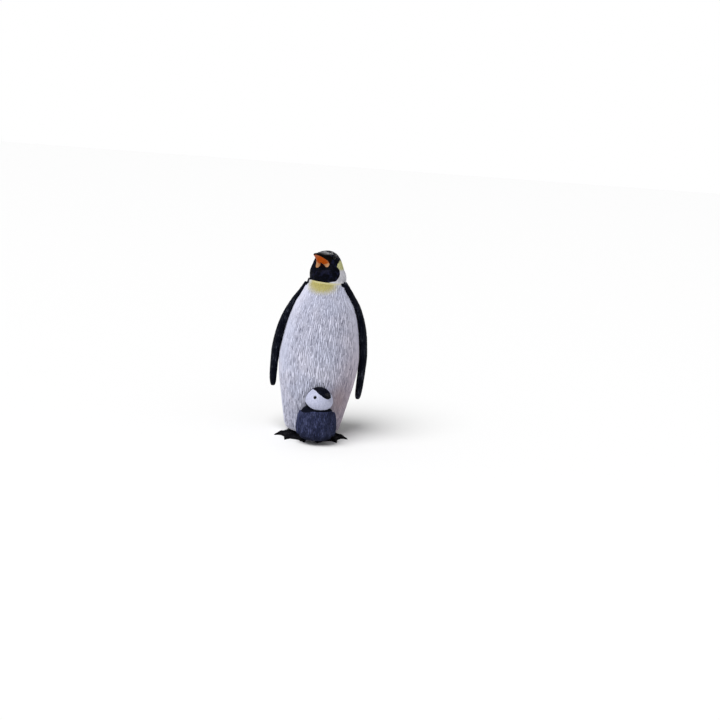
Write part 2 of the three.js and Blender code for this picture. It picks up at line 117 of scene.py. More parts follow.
# Lower edge of the throat's black: place across the neck, then height over the neck seat
THROAT_LINE = [
    [-9, 0.2],
    [-5.6, 0],
    [-4.4, -0.12],
    [-2.2, -0.03],
    [0.6, 0.26],
    [3, 0.8],
    [4.2, 1.4],
    [9, 1.6],
]
EYE_RADIUS = 0.85
EYE_FLATNESS = 0.6
EYE_SINK = 0.6 * EYE_RADIUS * EYE_FLATNESS
# Half the angle of the small hole that a ball's skin leaves at each pole, which its fans close
BALL_POLE = 0.03

# Flippers
FLIPPERS = {
    "left": {"side": 1, "rise": 0.6, "length": 49.9, "forward": 0.0, "reach": 4.6, "root": 1.5},
    "right": {"side": -1, "rise": -1.2, "length": 45.6, "forward": 1.2, "reach": 1.0, "root": 0.8},
}
FLIPPER_TOP_ROUND = 0.1
FLIPPER_TUCK = 0.5
FLIPPER_THICKNESS = 3.1
FLIPPER_CHORD = 9.6
FLIPPER_ROOT_CHORD = 3.6
FLIPPER_TAPER = 0.45
FLIPPER_TIP_ROUND = 0.14
FLIPPER_ROOT_Y = 1.0
FLIPPER_SWEEP = 2.0
FLIPPER_SQUARENESS = 2.3
FLIPPER_SINK = 0.55

# Feet
ANKLE_X = 6.2
ANKLE_Y = -3.5
INSTEP = (8.0, 9.2)
TOE_RADIUS = 1.8
TOE_HEIGHT = 1.7
WEB_REACH = 0.96
WEB_HOLLOW = 0.04
CLAW_LENGTH = 2.0
SCUTE_LENGTH = 0.85
FOOT_VOXEL = 0.13
TOES = [[-14, 13.0], [20, 11.0], [57, 8.8]]

# Tail
TAIL_HALF_WIDTH = 5.2
TAIL_REACH = 4.2
TAIL_ROOT_HEIGHT = 8.0
TAIL_GROUND_GAP = 0.3
TAIL_SQUARENESS = 2.4
TAIL_FEATHER_WIDTH = 1.5
# Rows from root to tip: share of the reach, of the drop and of the width, then half thickness
TAIL_OUTLINE = [
    [-0.45, -0.2, 0.8, 2.6],
    [0.08, 0, 0.92, 2.4],
    [0.4, 0.35, 1, 1.9],
    [0.72, 0.68, 0.9, 1.4],
    [0.92, 0.9, 0.66, 1],
    [1, 1, 0.42, 0.7],
]

# Chick
CHICK_X = 1.8
CHICK_STAND_OFF = 2.7
CHICK_HALF_WIDTH = 7.7
CHICK_DEPTH = 6.0
CHICK_BODY_HEIGHT = 12.2
CHICK_YAW = math.radians(-45)
CHICK_SQUARENESS = 2.2
CHICK_RUFF = 1.3
RUFF_RINGS = 4
RUFF_STEP = 0.07
CHICK_HEAD_HALF_WIDTH = 5.7
CHICK_HEAD_HEIGHT = 8.7
CHICK_HEAD_SHIFT = 0.5
CHICK_HEAD_SINK = 0.6
CHICK_EYE_RADIUS = 0.7
CHICK_EYE_SINK = 0.35
CHICK_EYE_BEARING = 65
CHICK_EYE_SHARE = 0.63
# Rows of the two outlines, upwards: share of the height, then of the half width
CHICK_BODY_OUTLINE = [
    [0, 0.66],
    [0.05, 0.82],
    [0.14, 0.92],
    [0.3, 0.99],
    [0.45, 1],
    [0.68, 0.97],
    [0.85, 0.91],
    [0.95, 0.84],
    [1, 0.76],
]
CHICK_HEAD_OUTLINE = [
    [0, 0.66],
    [0.1, 0.86],
    [0.26, 0.985],
    [0.42, 1],
    [0.6, 0.92],
    [0.76, 0.76],
    [0.9, 0.52],
    [0.97, 0.29],
    [1, 0.1],
]
# Rows from root to tip: share of the head's half width, of its height, half width, half height
CHICK_BEAK = [
    [0.7, 0.7, 1.3, 1.2],
    [0.92, 0.7, 1.0, 0.9],
    [1.04, 0.69, 0.66, 0.56],
    [1.13, 0.68, 0.2, 0.2],
]

# Sculpted relief in millimetres: how far each detail stands out of its skin, or is cut into it
PLATE_LIFT = 0.13
GAPE_CUT = 0.22
LIP_LIFT = 0.1
CULMEN_LIFT = 0.12
NOSTRIL_CUT = 0.16
EYE_RIM_LIFT = 0.16
NECK_SIDE_CUT = 0.5
FLIPPER_WAVE = 0.1
SCUTE_CUT = 0.13
CLAW_BASE_CUT = 0.16
TAIL_FEATHER_CUT = 0.28
WING_LIFT = 0.5
WING_FOLD_CUT = 0.28
CHICK_SEAM_CUT = 0.2
CAP_LIFT = 0.12
CHICK_EYE_CUT = 0.1
CHICK_EYE_RIM_LIFT = 0.07
CHICK_MOUTH_CUT = 0.08


# Numbers and curves

X_AXIS, Y_AXIS, Z_AXIS = np.eye(3)


def ease(value, low, high):
    """Nothing below `low`, 1 above `high`, and smooth between. The two may stand either way round."""
    share = np.clip((value - low) / (high - low), 0, 1)
    return share * share * (3 - 2 * share)


def fade(value, low, high):
    return 1 - ease(value, low, high)


def hump(value, centre, reach):
    """A soft hump of height 1 at the centre."""
    return np.exp(-(((value - centre) / reach) ** 2))


def through(rows, column=1):
    """A smooth curve through a table's rows: one column against the first."""
    table = np.array(rows, float)
    place, height = table[:, 0], table[:, column]
    count = len(place)
    before = np.maximum(np.arange(count) - 1, 0)
    after = np.minimum(np.arange(count) + 1, count - 1)
    slope = (height[after] - height[before]) / (place[after] - place[before])

    def curve(at):
        at = np.asarray(at, float)
        i = np.searchsorted(place[1:-1], at)
        span = place[i + 1] - place[i]
        u = np.clip((at - place[i]) / span, 0, 1)
        u2, u3 = u * u, u * u * u
        return (
            (2 * u3 - 3 * u2 + 1) * height[i]
            + (u3 - 2 * u2 + u) * span * slope[i]
            + (3 * u2 - 2 * u3) * height[i + 1]
            + (u3 - u2) * span * slope[i + 1]
        )

    return curve


def curves(rows):
    """A smooth curve for each column of a table, against the number of the row."""
    table = [[i, *row] for i, row in enumerate(rows)]
    return [through(table, column) for column in range(1, len(table[0]))]


def all_round(columns):
    """The angles of a closed grid's columns."""
    return np.linspace(0, 2 * math.pi, columns, endpoint=False)


def rings(centre, across, along, half_width, deep, shallow, angle, squareness=2.0):
    """Ring points, a row for each centre and a column for each angle."""
    cos, sin = np.cos(angle), np.sin(angle)
    reach = (np.abs(cos) ** squareness + np.abs(sin) ** squareness) ** (-1 / squareness)
    wide = half_width * reach * cos
    high = np.where(sin > 0, deep, shallow) * reach * sin
    return centre + across * wide[..., None] + along * high[..., None]


def upright(values):
    """Numbers down a table's rows, to go with numbers along its columns."""
    return np.asarray(values, float)[:, None]


def stack(x, y, z):
    return np.stack(np.broadcast_arrays(x, y, z), axis=-1).astype(float)


def unit(vectors):
    """Vectors brought to length 1, apart from those that have hardly any."""
    return vectors / np.maximum(np.linalg.norm(vectors, axis=-1, keepdims=True), 1e-9)


def raised(points, lift):
    """A closed grid of rings, with each point moved out of its skin by its lift."""
    around = np.roll(points, -1, axis=1) - np.roll(points, 1, axis=1)
    outward = unit(np.cross(around, np.gradient(points, axis=0)))
    return points + outward * lift[..., None]


def leaned(points):
    """Upright adult points, tilted to its left about the middle of the hem."""
    cos, sin = math.cos(TORSO_LEAN), math.sin(TORSO_LEAN)
    x, y, z = points[..., 0], points[..., 1], points[..., 2] - HEM
    return stack(x * cos + z * sin, y, z * cos - x * sin + HEM)


def yawed(points, yaw):
    """Points turned to the figure's right by an angle about the vertical."""
    cos, sin = math.cos(yaw), math.sin(yaw)
    x, y, z = np.moveaxis(points, -1, 0)
    return stack(x * cos + y * sin, y * cos - x * sin, z)


torso_shares = [through(TORSO_OUTLINE, column) for column in (1, 2, 3)]
NECK_Z = HEM + TORSO_HEIGHT
CHICK_BASE_Z = TOE_HEIGHT + SEAT_GAP
CHICK_NECK_Z = CHICK_BASE_Z + CHICK_BODY_HEIGHT


def torso_size(share):
    """The torso's half width, and its depth in front and behind, at a share of its height."""
    full_sizes = (TORSO_HALF_WIDTH, TORSO_FRONT, TORSO_BACK)
    return [full * curve(share) for full, curve in zip(full_sizes, torso_shares)]


def torso_at(z):
    return torso_size((z - HEM) / TORSO_HEIGHT)


CHICK_Y = -float(torso_at(CHICK_NECK_Z)[1] + CHICK_STAND_OFF)

# The row's frame is the maker's frame, moved so that its origin is the middle of the footprint.
left_foot_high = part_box("foot_left")[1]
right_foot_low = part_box("foot_right")[0]
front_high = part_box("torso_front")[1]
SHIFT = np.array(
    [(left_foot_high[0] + right_foot_low[0]) / 2, front_high[1] - PARTING_Y * MM, 0.0]
)


# Meshes


def add_mark(mesh, title, values):
    """Gives a mesh a point attribute, a number or a vector for each point."""
    vector = values.ndim == 2
    mark = mesh.attributes.new(title, "FLOAT_VECTOR" if vector else "FLOAT", "POINT")
    mark.data.foreach_set("vector" if vector else "value", values.astype(np.float32).ravel())


def mesh_of(name, points, faces, marks, rim=None):
    """A mesh in millimetres, with its marks as point attributes and its rim's edges sharp."""
    mesh = bpy.data.meshes.new(name)
    mesh.from_pydata(points.tolist(), [], faces)
    for title, values in marks.items():
        add_mark(mesh, title, values)
    if rim is not None:
        ends = np.empty(len(mesh.edges) * 2, np.int32)
        mesh.edges.foreach_get("vertices", ends)
        sharp = mesh.attributes.new("sharp_edge", "BOOLEAN", "EDGE")
        sharp.data.foreach_set("value", rim[ends.reshape(-1, 2)].all(axis=1))
    mesh.shade_smooth()
    mesh.update()
    return mesh


def faces_round(rows, columns):
    """Faces of a closed skin over a grid, with a fan at each end about a point of its own."""
    index = np.arange(rows * columns).reshape(rows, columns)
    beside = np.roll(index, -1, axis=1)
    quads = np.stack([index[:-1], beside[:-1], beside[1:], index[1:]], axis=-1).reshape(-1, 4)
    low, high = rows * columns, rows * columns + 1
    fans = [(low, int(b), int(a)) for a, b in zip(index[0], beside[0])]
    fans += [(high, int(a), int(b)) for a, b in zip(index[-1], beside[-1])]
    return quads.tolist() + fans


def with_ends(grid):
    """A grid's values in one list, with the mean of its first row and of its last at the end."""
    ends = np.stack([grid[0].mean(axis=0), grid[-1].mean(axis=0)])
    return np.concatenate([grid.reshape(-1, *grid.shape[2:]), ends])


def new_piece(name, mesh):
    piece = bpy.data.objects.new(name, mesh)
    scene.collection.objects.link(piece)
    return piece


def skin(name, points, marks=None, open_sides=False):
    """A piece with a closed skin over a grid, whose rows grow one way and whose columns go round."""
    rows, columns = points.shape[:2]
    # Feathers lie along the columns
    marks = {**(marks or {}), "flow": unit(np.gradient(points, axis=0))}
    for title, values in marks.items():
        marks[title] = with_ends(np.broadcast_to(values, (rows, columns, *values.shape[2:])))
    rim = None
    if open_sides:
        edge = np.zeros((rows, columns), bool)
        edge[[0, -1]] = True
        edge[:, [0, -1]] = True
        rim = np.concatenate([edge.ravel(), [False, False]])
    return new_piece(name, mesh_of(name, with_ends(points), faces_round(rows, columns), marks, rim))


def corners_of(mesh):
    points = np.empty(len(mesh.vertices) * 3)
    mesh.vertices.foreach_get("co", points)
    return points.reshape(-1, 3)


def placed(piece):
    """Puts a piece that was shaped in millimetres into the row's frame."""
    points = corners_of(piece.data) * MM + SHIFT
    piece.data.vertices.foreach_set("co", points.ravel())
    piece.data.update()


def settle(piece):
    """Swaps a piece's mesh for what its modifiers make of it."""
    graph = bpy.context.evaluated_depsgraph_get()
    made = bpy.data.meshes.new_from_object(piece.evaluated_get(graph))
    piece.modifiers.clear()
    piece.data = made


def modified(piece, kind, **settings):
    """Runs one modifier over a piece."""
    modifier = piece.modifiers.new(kind, kind)
    for name, value in settings.items():
        setattr(modifier, name, value)
    settle(piece)


def sunk(points, marks, depth):
    """A grid and its marks with one more ring under the first, to reach into what it stands on."""
    points = np.concatenate([points[:1] - depth * Z_AXIS, points])
    return points, {title: np.concatenate([values[:1], values]) for title, values in marks.items()}


def from_eyes(points, centre_of):
    """How far a head's points lie from the nearer of its eyes."""
    off = []
    for side in (-1, 1):
        x, y, z = centre_of(side)
        squares = (points[..., 0] - x) ** 2 + (points[..., 1] - y) ** 2 + (points[..., 2] - z) ** 2
        off.append(np.sqrt(squares))
    return np.minimum(*off)


def feathered(piece, paint, nodes):
    """Grows a piece's plumage, with the sizes that PLUMAGE lists for it, and dresses it."""
    given = {**dict(zip(STROKE_SIZES, PLUMAGE[piece.name])), "Paint": paint}
    modifier = piece.modifiers.new(plumage.name, "NODES")
    modifier.node_group = plumage
    for item in plumage.interface.items_tree:
        if item.in_out == "INPUT" and item.name in given:
            modifier[item.identifier] = given[item.name]
    settle(piece)
    dress(piece, paint, nodes)


def dress(piece, paint, nodes=()):
    """Puts a finished piece in its place, with its paint, its body and the solids it stands for."""
    piece.data.materials.clear()
    piece.data.materials.append(paint)
    placed(piece)
    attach(piece, "root")
    if nodes:
        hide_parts(*nodes)


# Node trees


class Wire:
    """A node's output that can stand in a sum: each operator adds a Math node."""

    def __init__(self, board, socket):
        self.board = board
        self.socket = socket

    def __getitem__(self, name):
        """Another output of the same node."""
        outputs = self.socket.node.outputs
        return Wire(self.board, next(s for s in outputs if s.name == name and s.enabled))

    def __add__(self, other):
        return self.board.math("ADD", self, other)

    def __sub__(self, other):
        return self.board.math("SUBTRACT", self, other)

    def __rsub__(self, other):
        return self.board.math("SUBTRACT", other, self)

    def __mul__(self, other):
        return self.board.math("MULTIPLY", self, other)

    def __rtruediv__(self, other):
        return self.board.math("DIVIDE", other, self)

    __radd__ = __add__
    __rmul__ = __mul__


class Board:
    """A node tree that is wired up in Python, for a paint or for Geometry Nodes."""

    def __init__(self, tree):
        self.tree = tree

    def node(self, kind, sockets=None, **settings):
        """Adds a node, with the values or wires of its sockets and its settings by name."""
        made = self.tree.nodes.new(kind)
        for name, value in settings.items():
            setattr(made, name, value)
        for name, value in (sockets or {}).items():
            if isinstance(name, int):
                socket = made.inputs[name]
            else:
                socket = next(s for s in made.inputs if s.name == name and s.enabled)
            if isinstance(value, Wire):
                self.tree.links.new(value.socket, socket)
            else:
                socket.default_value = value
        first = next((s for s in made.outputs if s.enabled), None)
        return Wire(self, first) if first else made

    def math(self, operation, *values):
        return self.node("ShaderNodeMath", dict(enumerate(values)), operation=operation)

    def vector(self, operation, *values):
        return self.node("ShaderNodeVectorMath", dict(enumerate(values)), operation=operation)

    def scaled(self, vector, factor):
        sockets = {0: vector, "Scale": factor}
        return self.node("ShaderNodeVectorMath", sockets, operation="SCALE")

    def edge(self, value, low, high):
        """Nothing below `low`, all above `high`, and smooth between."""
        sockets = {"Value": value, "From Min": low, "From Max": high}
        return self.node("ShaderNodeMapRange", sockets, interpolation_type="SMOOTHSTEP")

    def noise(self, where, size, detail=2.0, roughness=0.5):
        """Soft noise about 0.5, with features of about the size given."""
        sockets = {"Vector": where, "Scale": 1 / size, "Detail": detail, "Roughness": roughness}
        return self.node("ShaderNodeTexNoise", sockets)

    def blend(self, factor, under, over):
        """One colour laid on another, each of them a wire or a hex code."""
        under, over = (hue(c) if isinstance(c, str) else c for c in (under, over))
        sockets = {"Factor": factor, "A": under, "B": over}
        return self.node("ShaderNodeMix", sockets, data_type="RGBA")["Result"]


# Inputs of the plumage tree
STROKE_SIZES = (
    "Stroke length",
    "Stroke spacing",
    "Stretch",
    "Groove width",
    "Groove depth",
    "Swell height",
    "Swell size",
    "Wander",
    "Seed",
)
# What each piece gives them, in millimetres apart from the stretch and the seed
PLUMAGE = {
    "belly_feathers": (5.2, 0.6, 7.0, 0.25, 0.26, 0.16, 1.2, 1.1, 3),
    "back_feathers": (3.6, 0.6, 4.5, 0.25, 0.26, 0.16, 1.2, 1.1, 5),
    "head_moulding": (1.7, 0.48, 1.8, 0.24, 0.12, 0.16, 0.9, 0.6, 7),
    "flipper_left_moulding": (1.6, 0.55, 2.0, 0.28, 0.11, 0.22, 1.4, 0.7, 11),
    "flipper_right_moulding": (1.6, 0.55, 2.0, 0.28, 0.11, 0.22, 1.4, 0.7, 12),
    "tail_feathers": (2.6, 0.55, 2.0, 0.28, 0.11, 0.22, 1.4, 0.7, 17),
    "chick_down_body": (2.0, 0.52, 2.4, 0.28, 0.14, 0.22, 1.1, 0.8, 19),
    "chick_head_moulding": (1.1, 0.52, 2.4, 0.28, 0.06, 0.1, 1.1, 0.8, 23),
}
STROKE_CORNERS = 8
STROKE_CHANCE = {"Min": 0.55, "Max": 1.35}
DRIFT_SIZE = 1.6
# Spots tried on each square of the spacing, before those that lie too near are dropped
SPOT_CROWD = 8


def plumage_tree():
    """Carves short wavy feather strokes into a skin, along the way its feathers lie."""
    tree = bpy.data.node_groups.new("Plumage", "GeometryNodeTree")
    board = Board(tree)
    sizes = dict.fromkeys(STROKE_SIZES, "Float")
    inputs = {"Geometry": "Geometry", **sizes, "Seed": "Int", "Paint": "Material"}
    for name, kind in inputs.items():
        tree.interface.new_socket(name, in_out="INPUT", socket_type=f"NodeSocket{kind}")
    tree.interface.new_socket("Geometry", in_out="OUTPUT", socket_type="NodeSocketGeometry")
    given = board.node("NodeGroupInput")
    bare = given["Geometry"]
    stretch = given["Stretch"]
    spacing = given["Stroke spacing"]
    place = board.node("GeometryNodeInputPosition")

    def moved(geometry, **sockets):
        return board.node("GeometryNodeSetPosition", {"Geometry": geometry, **sockets})

    def mark(name, kind="FLOAT"):
        return board.node("GeometryNodeInputNamedAttribute", {"Name": name}, data_type=kind)

    def tall(factor):
        return board.node("ShaderNodeCombineXYZ", {"X": 1.0, "Y": 1.0, "Z": factor})

    squat = board.vector("MULTIPLY", place, tall(1 / stretch))
    scatter = {
        "Mesh": moved(bare, Position=squat),
        "Distance Min": spacing,
        "Density Max": SPOT_CROWD / (spacing * spacing),
        "Density Factor": mark("relief"),
        "Seed": given["Seed"],
    }
    spots = board.node("GeometryNodeDistributePointsOnFaces", scatter, distribute_method="POISSON")
    spots = moved(spots, Position=board.vector("MULTIPLY", place, tall(stretch)))
    step = 1 / (STROKE_CORNERS - 1)
    line = {"Count": STROKE_CORNERS, "Start Location": (0, 0, -0.5), "Offset": (0, 0, step)}
    stroke = board.node("GeometryNodeMeshLine", line)
    chance = board.node("FunctionNodeRandomValue", {**STROKE_CHANCE, "Seed": given["Seed"]})
    length = given["Stroke length"] * mark("grain") * chance
    flow = mark("flow", "FLOAT_VECTOR")
    lie = board.node("FunctionNodeAlignRotationToVector", {"Vector": flow}, axis="Z")
    laid = {"Points": spots, "Instance": stroke, "Rotation": lie, "Scale": tall(length)}
    strokes = board.node("GeometryNodeInstanceOnPoints", laid)
    strokes = board.node("GeometryNodeRealizeInstances", {"Geometry": strokes})
    drift = board.noise(board.vector("MULTIPLY", place, (1.0, 1.0, 0.5)), DRIFT_SIZE, 1.0)["Color"]
    drift = board.vector("SUBTRACT", drift, (0.5, 0.5, 0.5))
    strokes = moved(strokes, Offset=board.scaled(drift, given["Wander"]))
    nearest = board.node("GeometryNodeProximity", {0: bare}, target_element="FACES")["Position"]
    strokes = moved(strokes, Position=nearest)

    off = board.node("GeometryNodeProximity", {0: strokes}, target_element="EDGES")["Distance"]
    relief = mark("relief")
    groove = (1 - board.edge(off, 0.0, given["Groove width"])) * relief
    lumps = board.noise(board.scaled(squat, 1 / given["Swell size"]), 1.0, 2.0)
    swell = (lumps - 0.5) * relief
    sockets = {"Geometry": bare, "Name": "groove", "Value": groove}
    marked = board.node("GeometryNodeStoreNamedAttribute", sockets, data_type="FLOAT", domain="POINT")
    height = swell * given["Swell height"] - groove * given["Groove depth"]
    normal = board.node("GeometryNodeInputNormal")
    carved = moved(marked, Offset=board.scaled(normal, height))
    whole = board.node("GeometryNodeRealizeInstances", {"Geometry": carved})
    painted = board.node("GeometryNodeSetMaterial", {"Geometry": whole, "Material": given["Paint"]})
    board.node("NodeGroupOutput", {0: painted})
    return tree


# Paints


def hue(code):
    """A colour from its hex code, as light."""
    parts = [int(code[i : i + 2], 16) / 255 for i in (1, 3, 5)]
    return (*[p / 12.92 if p <= 0.04045 else ((p + 0.055) / 1.055) ** 2.4 for p in parts], 1.0)


class Paint(Board):
    """A paint on vinyl, laid on colour over colour by the marks that its pieces carry."""

    def __init__(self, name):
        self.material = bpy.data.materials.new(name)
        self.material.use_nodes = True
        super().__init__(self.material.node_tree)
        self.tree.nodes.clear()
        spot = self.node("ShaderNodeTexCoord")["Object"]
        self.place = self.scaled(spot, 1 / MM)
        self.colour = None

    def mark(self, name):
        return self.node("ShaderNodeAttribute", attribute_name=name)["Fac"]

    def cloud(self, size, detail=2.0, roughness=0.5):
        """Soft noise with features of a size in millimetres."""
        return self.noise(self.place, size, detail, roughness)

    def streaks(self, stretch, size, detail=3.0, roughness=0.6):
        """Noise that is stretched along the height."""
        squeezed = self.vector("MULTIPLY", self.place, (1.0, 1.0, 1 / stretch))
        return self.noise(squeezed, size, detail, roughness)

    def border(self, name, ragged, softness):
        """All above zero in a mark and nothing below, with a ragged edge between."""
        return self.edge(self.mark(name) + ragged, -softness, softness)

    def base(self, where, low, high, under, over):
        """Starts the paint with two colours, the second of them where a pattern is high."""
        self.colour = self.blend(self.edge(where, low, high), under, over)

    def lay(self, factor, over):
        """Lays a colour over what the paint has so far."""
        self.colour = self.blend(factor, self.colour, over)

    def finish(self, roughness, grain_size, grain_depth, coat=0.0, specular=0.03):
        """Ends the paint in its surface, with a fine grain in its film."""
        grain = self.cloud(grain_size, 3.0, 0.6)
        bump = {"Strength": 1.0, "Distance": grain_depth * MM, "Height": grain}
        surface = {
            "Base Color": self.colour,
            "Roughness": roughness,
            "Normal": self.node("ShaderNodeBump", bump),
            "Coat Weight": coat,
            "Coat Roughness": 0.25,
            "Specular IOR Level": specular,
        }
        film = self.node("ShaderNodeBsdfPrincipled", surface)
        self.node("ShaderNodeOutputMaterial", {"Surface": film})
        return self.material


BELLY_WASH = "#606176"
BLACK = "#070914"
BRUSHED_GREY = "#3a3e4b"


def belly_paint():
    paint = Paint("belly_paint")
    groove = paint.mark("groove")
    streak = paint.streaks(6.0, 0.55)
    ragged = paint.cloud(0.8) - 0.5
    white, cool, right_shade = "#dfdff0", "#d4d7eb", "#c0b1bc"
    nest_shade, chest_yellow, rim_highlight = "#a29095", "#b3a84b", "#cfc9a0"
    paint.base(paint.cloud(11.0), 0.35, 0.65, white, cool)
    # Painted shade, with a warm painted reflection in it, over the belly's +X side and more of it lower
    # down, away from the light
    paint.lay(paint.mark("right_shade") * 0.9, right_shade)
    stroke = paint.edge(paint.streaks(8.0, 0.5, 2.0, 0.5), 0.54, 0.62)
    wash = groove * paint.edge(streak, 0.0, 0.5) * 0.72 + stroke * 0.34
    paint.lay(wash * paint.mark("worked"), BELLY_WASH)
    # Painted shadow that the chick's head casts on the belly beside it
    paint.lay(paint.mark("chick_shadow") * 0.75, nest_shade)
    chest = paint.mark("chest")
    dabs = paint.edge(chest + (streak - 0.5) * 0.5 * paint.edge(chest, 0.0, 0.35), 0.08, 0.85)
    paint.lay(dabs * (0.92 - groove * 0.15), chest_yellow)
    # A painted highlight along the belly's top edge, under the head's seam
    paint.lay(paint.edge(paint.mark("rim"), 0.3, 0.8) * 0.6, rim_highlight)
    shoulder = paint.border("shoulder", ragged * 0.5, 0.08)
    paint.lay(paint.border("throat", ragged * 0.3, 0.1), BLACK)
    paint.lay(shoulder, BLACK)
    rough = 0.62 + (streak - 0.5) * 0.15 - shoulder * 0.1
    return paint.finish(rough, 0.22, 0.02, specular=0.08)


def dark_paint(name, brushed, amount):
    """Black paint with paler paint brushed over the high feathers."""
    paint = Paint(name)
    broad = paint.cloud(5.0)
    streak = paint.streaks(5.0, 0.5)
    soot = "#0d101b"
    paint.base(broad, 0.35, 0.7, BLACK, soot)
    high = (1 - paint.mark("groove")) * paint.edge(streak + (broad - 0.5) * 0.5, 0.52, 0.72) * amount
    high = high * (1 - paint.mark("fold"))
    paint.lay(high, brushed)
    rough = 0.45 + (streak - 0.5) * 0.2 + high * 0.15
    return paint.finish(rough, 0.25, 0.025)


def head_paint():
    paint = Paint("head_paint")
    groove = paint.mark("groove")
    fine = paint.cloud(0.45, 3.0, 0.6)
    broad = paint.cloud(2.6)
    ragged = (fine - 0.5) * 0.3
    # The hood, with a painted highlight on its crown laid in brushed grey, and brushed cheeks
    paint.base(paint.cloud(1.5, 3.0, 0.6), 0.48, 0.66, "#06070f", "#15172b")
    crown = paint.mark("crown") * paint.edge(fine + (broad - 0.5) * 0.9, 0.4, 0.56) * (1 - groove)
    paint.lay(crown, "#cccbcc")
    paint.lay((1 - groove) * paint.edge(fine, 0.52, 0.8) * paint.mark("relief") * 0.35, BRUSHED_GREY)
    # The white neck side, yellow towards the ear
    band = paint.border("band", ragged, 0.1)
    ear = paint.edge(paint.mark("ear") + (fine - 0.5) * 0.4, 0.15, 0.85)
    side = paint.blend(ear, "#e2e1e6", "#cbca8a")
    paint.lay(band, paint.blend(groove * 0.5, side, BELLY_WASH))
    # The bill, rusty near its plates, and the chin
    horn = paint.mark("horn")
    plate = paint.mark("plate")
    bill = paint.blend(paint.edge(fine, 0.4, 0.7) * 0.4, "#0b0807", "#17100f")
    # The crown's painted highlight runs on over the top of the bill
    bill = paint.blend(crown * 0.4, bill, "#8d8c8d")
    rust = paint.edge(plate, -0.75, -0.1) * paint.mark("beak")
    paint.lay(horn, paint.blend(rust, bill, "#3d1107"))
    paint.lay(paint.border("chin", ragged, 0.3) * 0.8, "#260806")
    # The plates, with their pale ends, and the gape's line
    orange = paint.blend(paint.edge(plate + (broad - 0.5) * 0.5, 0.05, 0.6), "#ad6a3e", "#ba500e")
    orange = paint.blend(paint.edge(fine, 0.5, 0.75) * 0.25, orange, "#c96a2c")
    orange = paint.blend(paint.mark("plate_tip") * 0.8, orange, "#ad6548")
    orange = paint.blend(paint.edge(paint.mark("plate_end") + ragged, 0.05, 0.95), orange, "#bf8e64")
    paint.lay(paint.edge(plate + ragged * 0.4, -0.09, 0.05), orange)
    paint.lay(paint.mark("gape") * 0.9, "#120605")
    rough = 0.48 + (fine - 0.5) * 0.2 + band * 0.1 - horn * 0.12
    return paint.finish(rough, 0.2, 0.02)


def foot_paint():
    paint = Paint("foot_paint")
    sockets = {"Vector": paint.place, "Scale": 1.6}
    scales = paint.node("ShaderNodeTexVoronoi", sockets, feature="DISTANCE_TO_EDGE")["Distance"]
    fine = paint.cloud(0.5, 3.0)
    claw = paint.mark("claw")
    paint.base(scales, 0.02, 0.2, "#050507", "#111015")
    paint.lay(paint.edge(fine, 0.56, 0.75) * 0.3, "#34333b")
    paint.lay(claw, "#0b0a0b")
    return paint.finish(0.5 - claw * 0.25 + (fine - 0.5) * 0.15, 0.3, 0.03)


def chick_down_paint():
    paint = Paint("chick_down")
    groove = paint.mark("groove")
    streak = paint.streaks(2.0, 0.5)
    paint.base(paint.cloud(2.2, 3.0), 0.35, 0.62, "#4e5479", "#2f3555")
    paint.lay(paint.edge(streak, 0.45, 0.75) * (1 - groove) * 0.5, "#626886")
    paint.lay(groove * 0.85, "#151724")
    paint.lay(paint.mark("fold") * 0.5, "#0c0d16")
    # Painted shade low down on the chick's body and on its +X side
    paint.lay(paint.mark("chick_shade"), "#0f101b")
    collar = paint.border("collar", (paint.cloud(0.7) - 0.5) * 0.5, 0.12)
    paint.lay(collar, "#090c18")
    return paint.finish(0.72 + (streak - 0.5) * 0.15 - collar * 0.15, 0.22, 0.025)


def chick_face_paint():
    paint = Paint("chick_face")
    fine = paint.cloud(0.5, 3.0, 0.6)
    paint.base(fine, 0.4, 0.75, "#c7cae0", "#b0b4cd")
    paint.lay(paint.mark("groove") * 0.3, "#8486a0")
    cap = paint.border("cap", (fine - 0.5) * 0.25, 0.08)
    paint.lay(cap, paint.blend(paint.edge(fine, 0.46, 0.7) * 0.7, "#05060d", "#191d33"))
    return paint.finish(0.6 - cap * 0.12, 0.2, 0.02)


def gloss_paint(name, colour, rough, coat):
    """Glossy paint, for an eye or a small beak."""
    paint = Paint(name)
    cloud = paint.cloud(0.6)
    paint.colour = paint.blend(paint.edge(cloud, 0.4, 0.7) * 0.4, colour, "#101116")
    return paint.finish(rough + (cloud - 0.5) * 0.05, 0.4, 0.004, coat=coat, specular=0.1)


# Pieces of the adult


def flipper_line(share, forward, reach):
    """At a share of a flipper's length: how far its root reaches ahead, and where its middle lies."""
    ahead = reach * fade(share, 0, 0.3)
    y = FLIPPER_ROOT_Y * (1 - ahead / (reach + FLIPPER_ROOT_Y)) - ahead
    return ahead, y - forward * ease(share, 0, 0.4) + FLIPPER_SWEEP * share**2


def behind_flipper(points):
    """How far the torso's points lie behind the middle of the flipper on their side."""
    behind = np.full(points.shape[:-1], -9.0)
    for sizes in FLIPPERS.values():
        share = (NECK_Z + sizes["rise"] - points[..., 2]) / sizes["length"]
        _, middle = flipper_line(np.clip(share, 0, 1), sizes["forward"], sizes["reach"])
        border = middle + 4 * ease(share, 0.6, 0.95)
        behind = np.where(sizes["side"] * points[..., 0] > 3, points[..., 1] - border, behind)
    return behind


def parting_angle(face, deep):
    """Where each torso ring meets the parting face, as its angle above the widest point."""
    high = face / deep
    wide = (1 - high**TORSO_SQUARENESS) ** (1 / TORSO_SQUARENESS)
    return np.arctan2(high, wide)


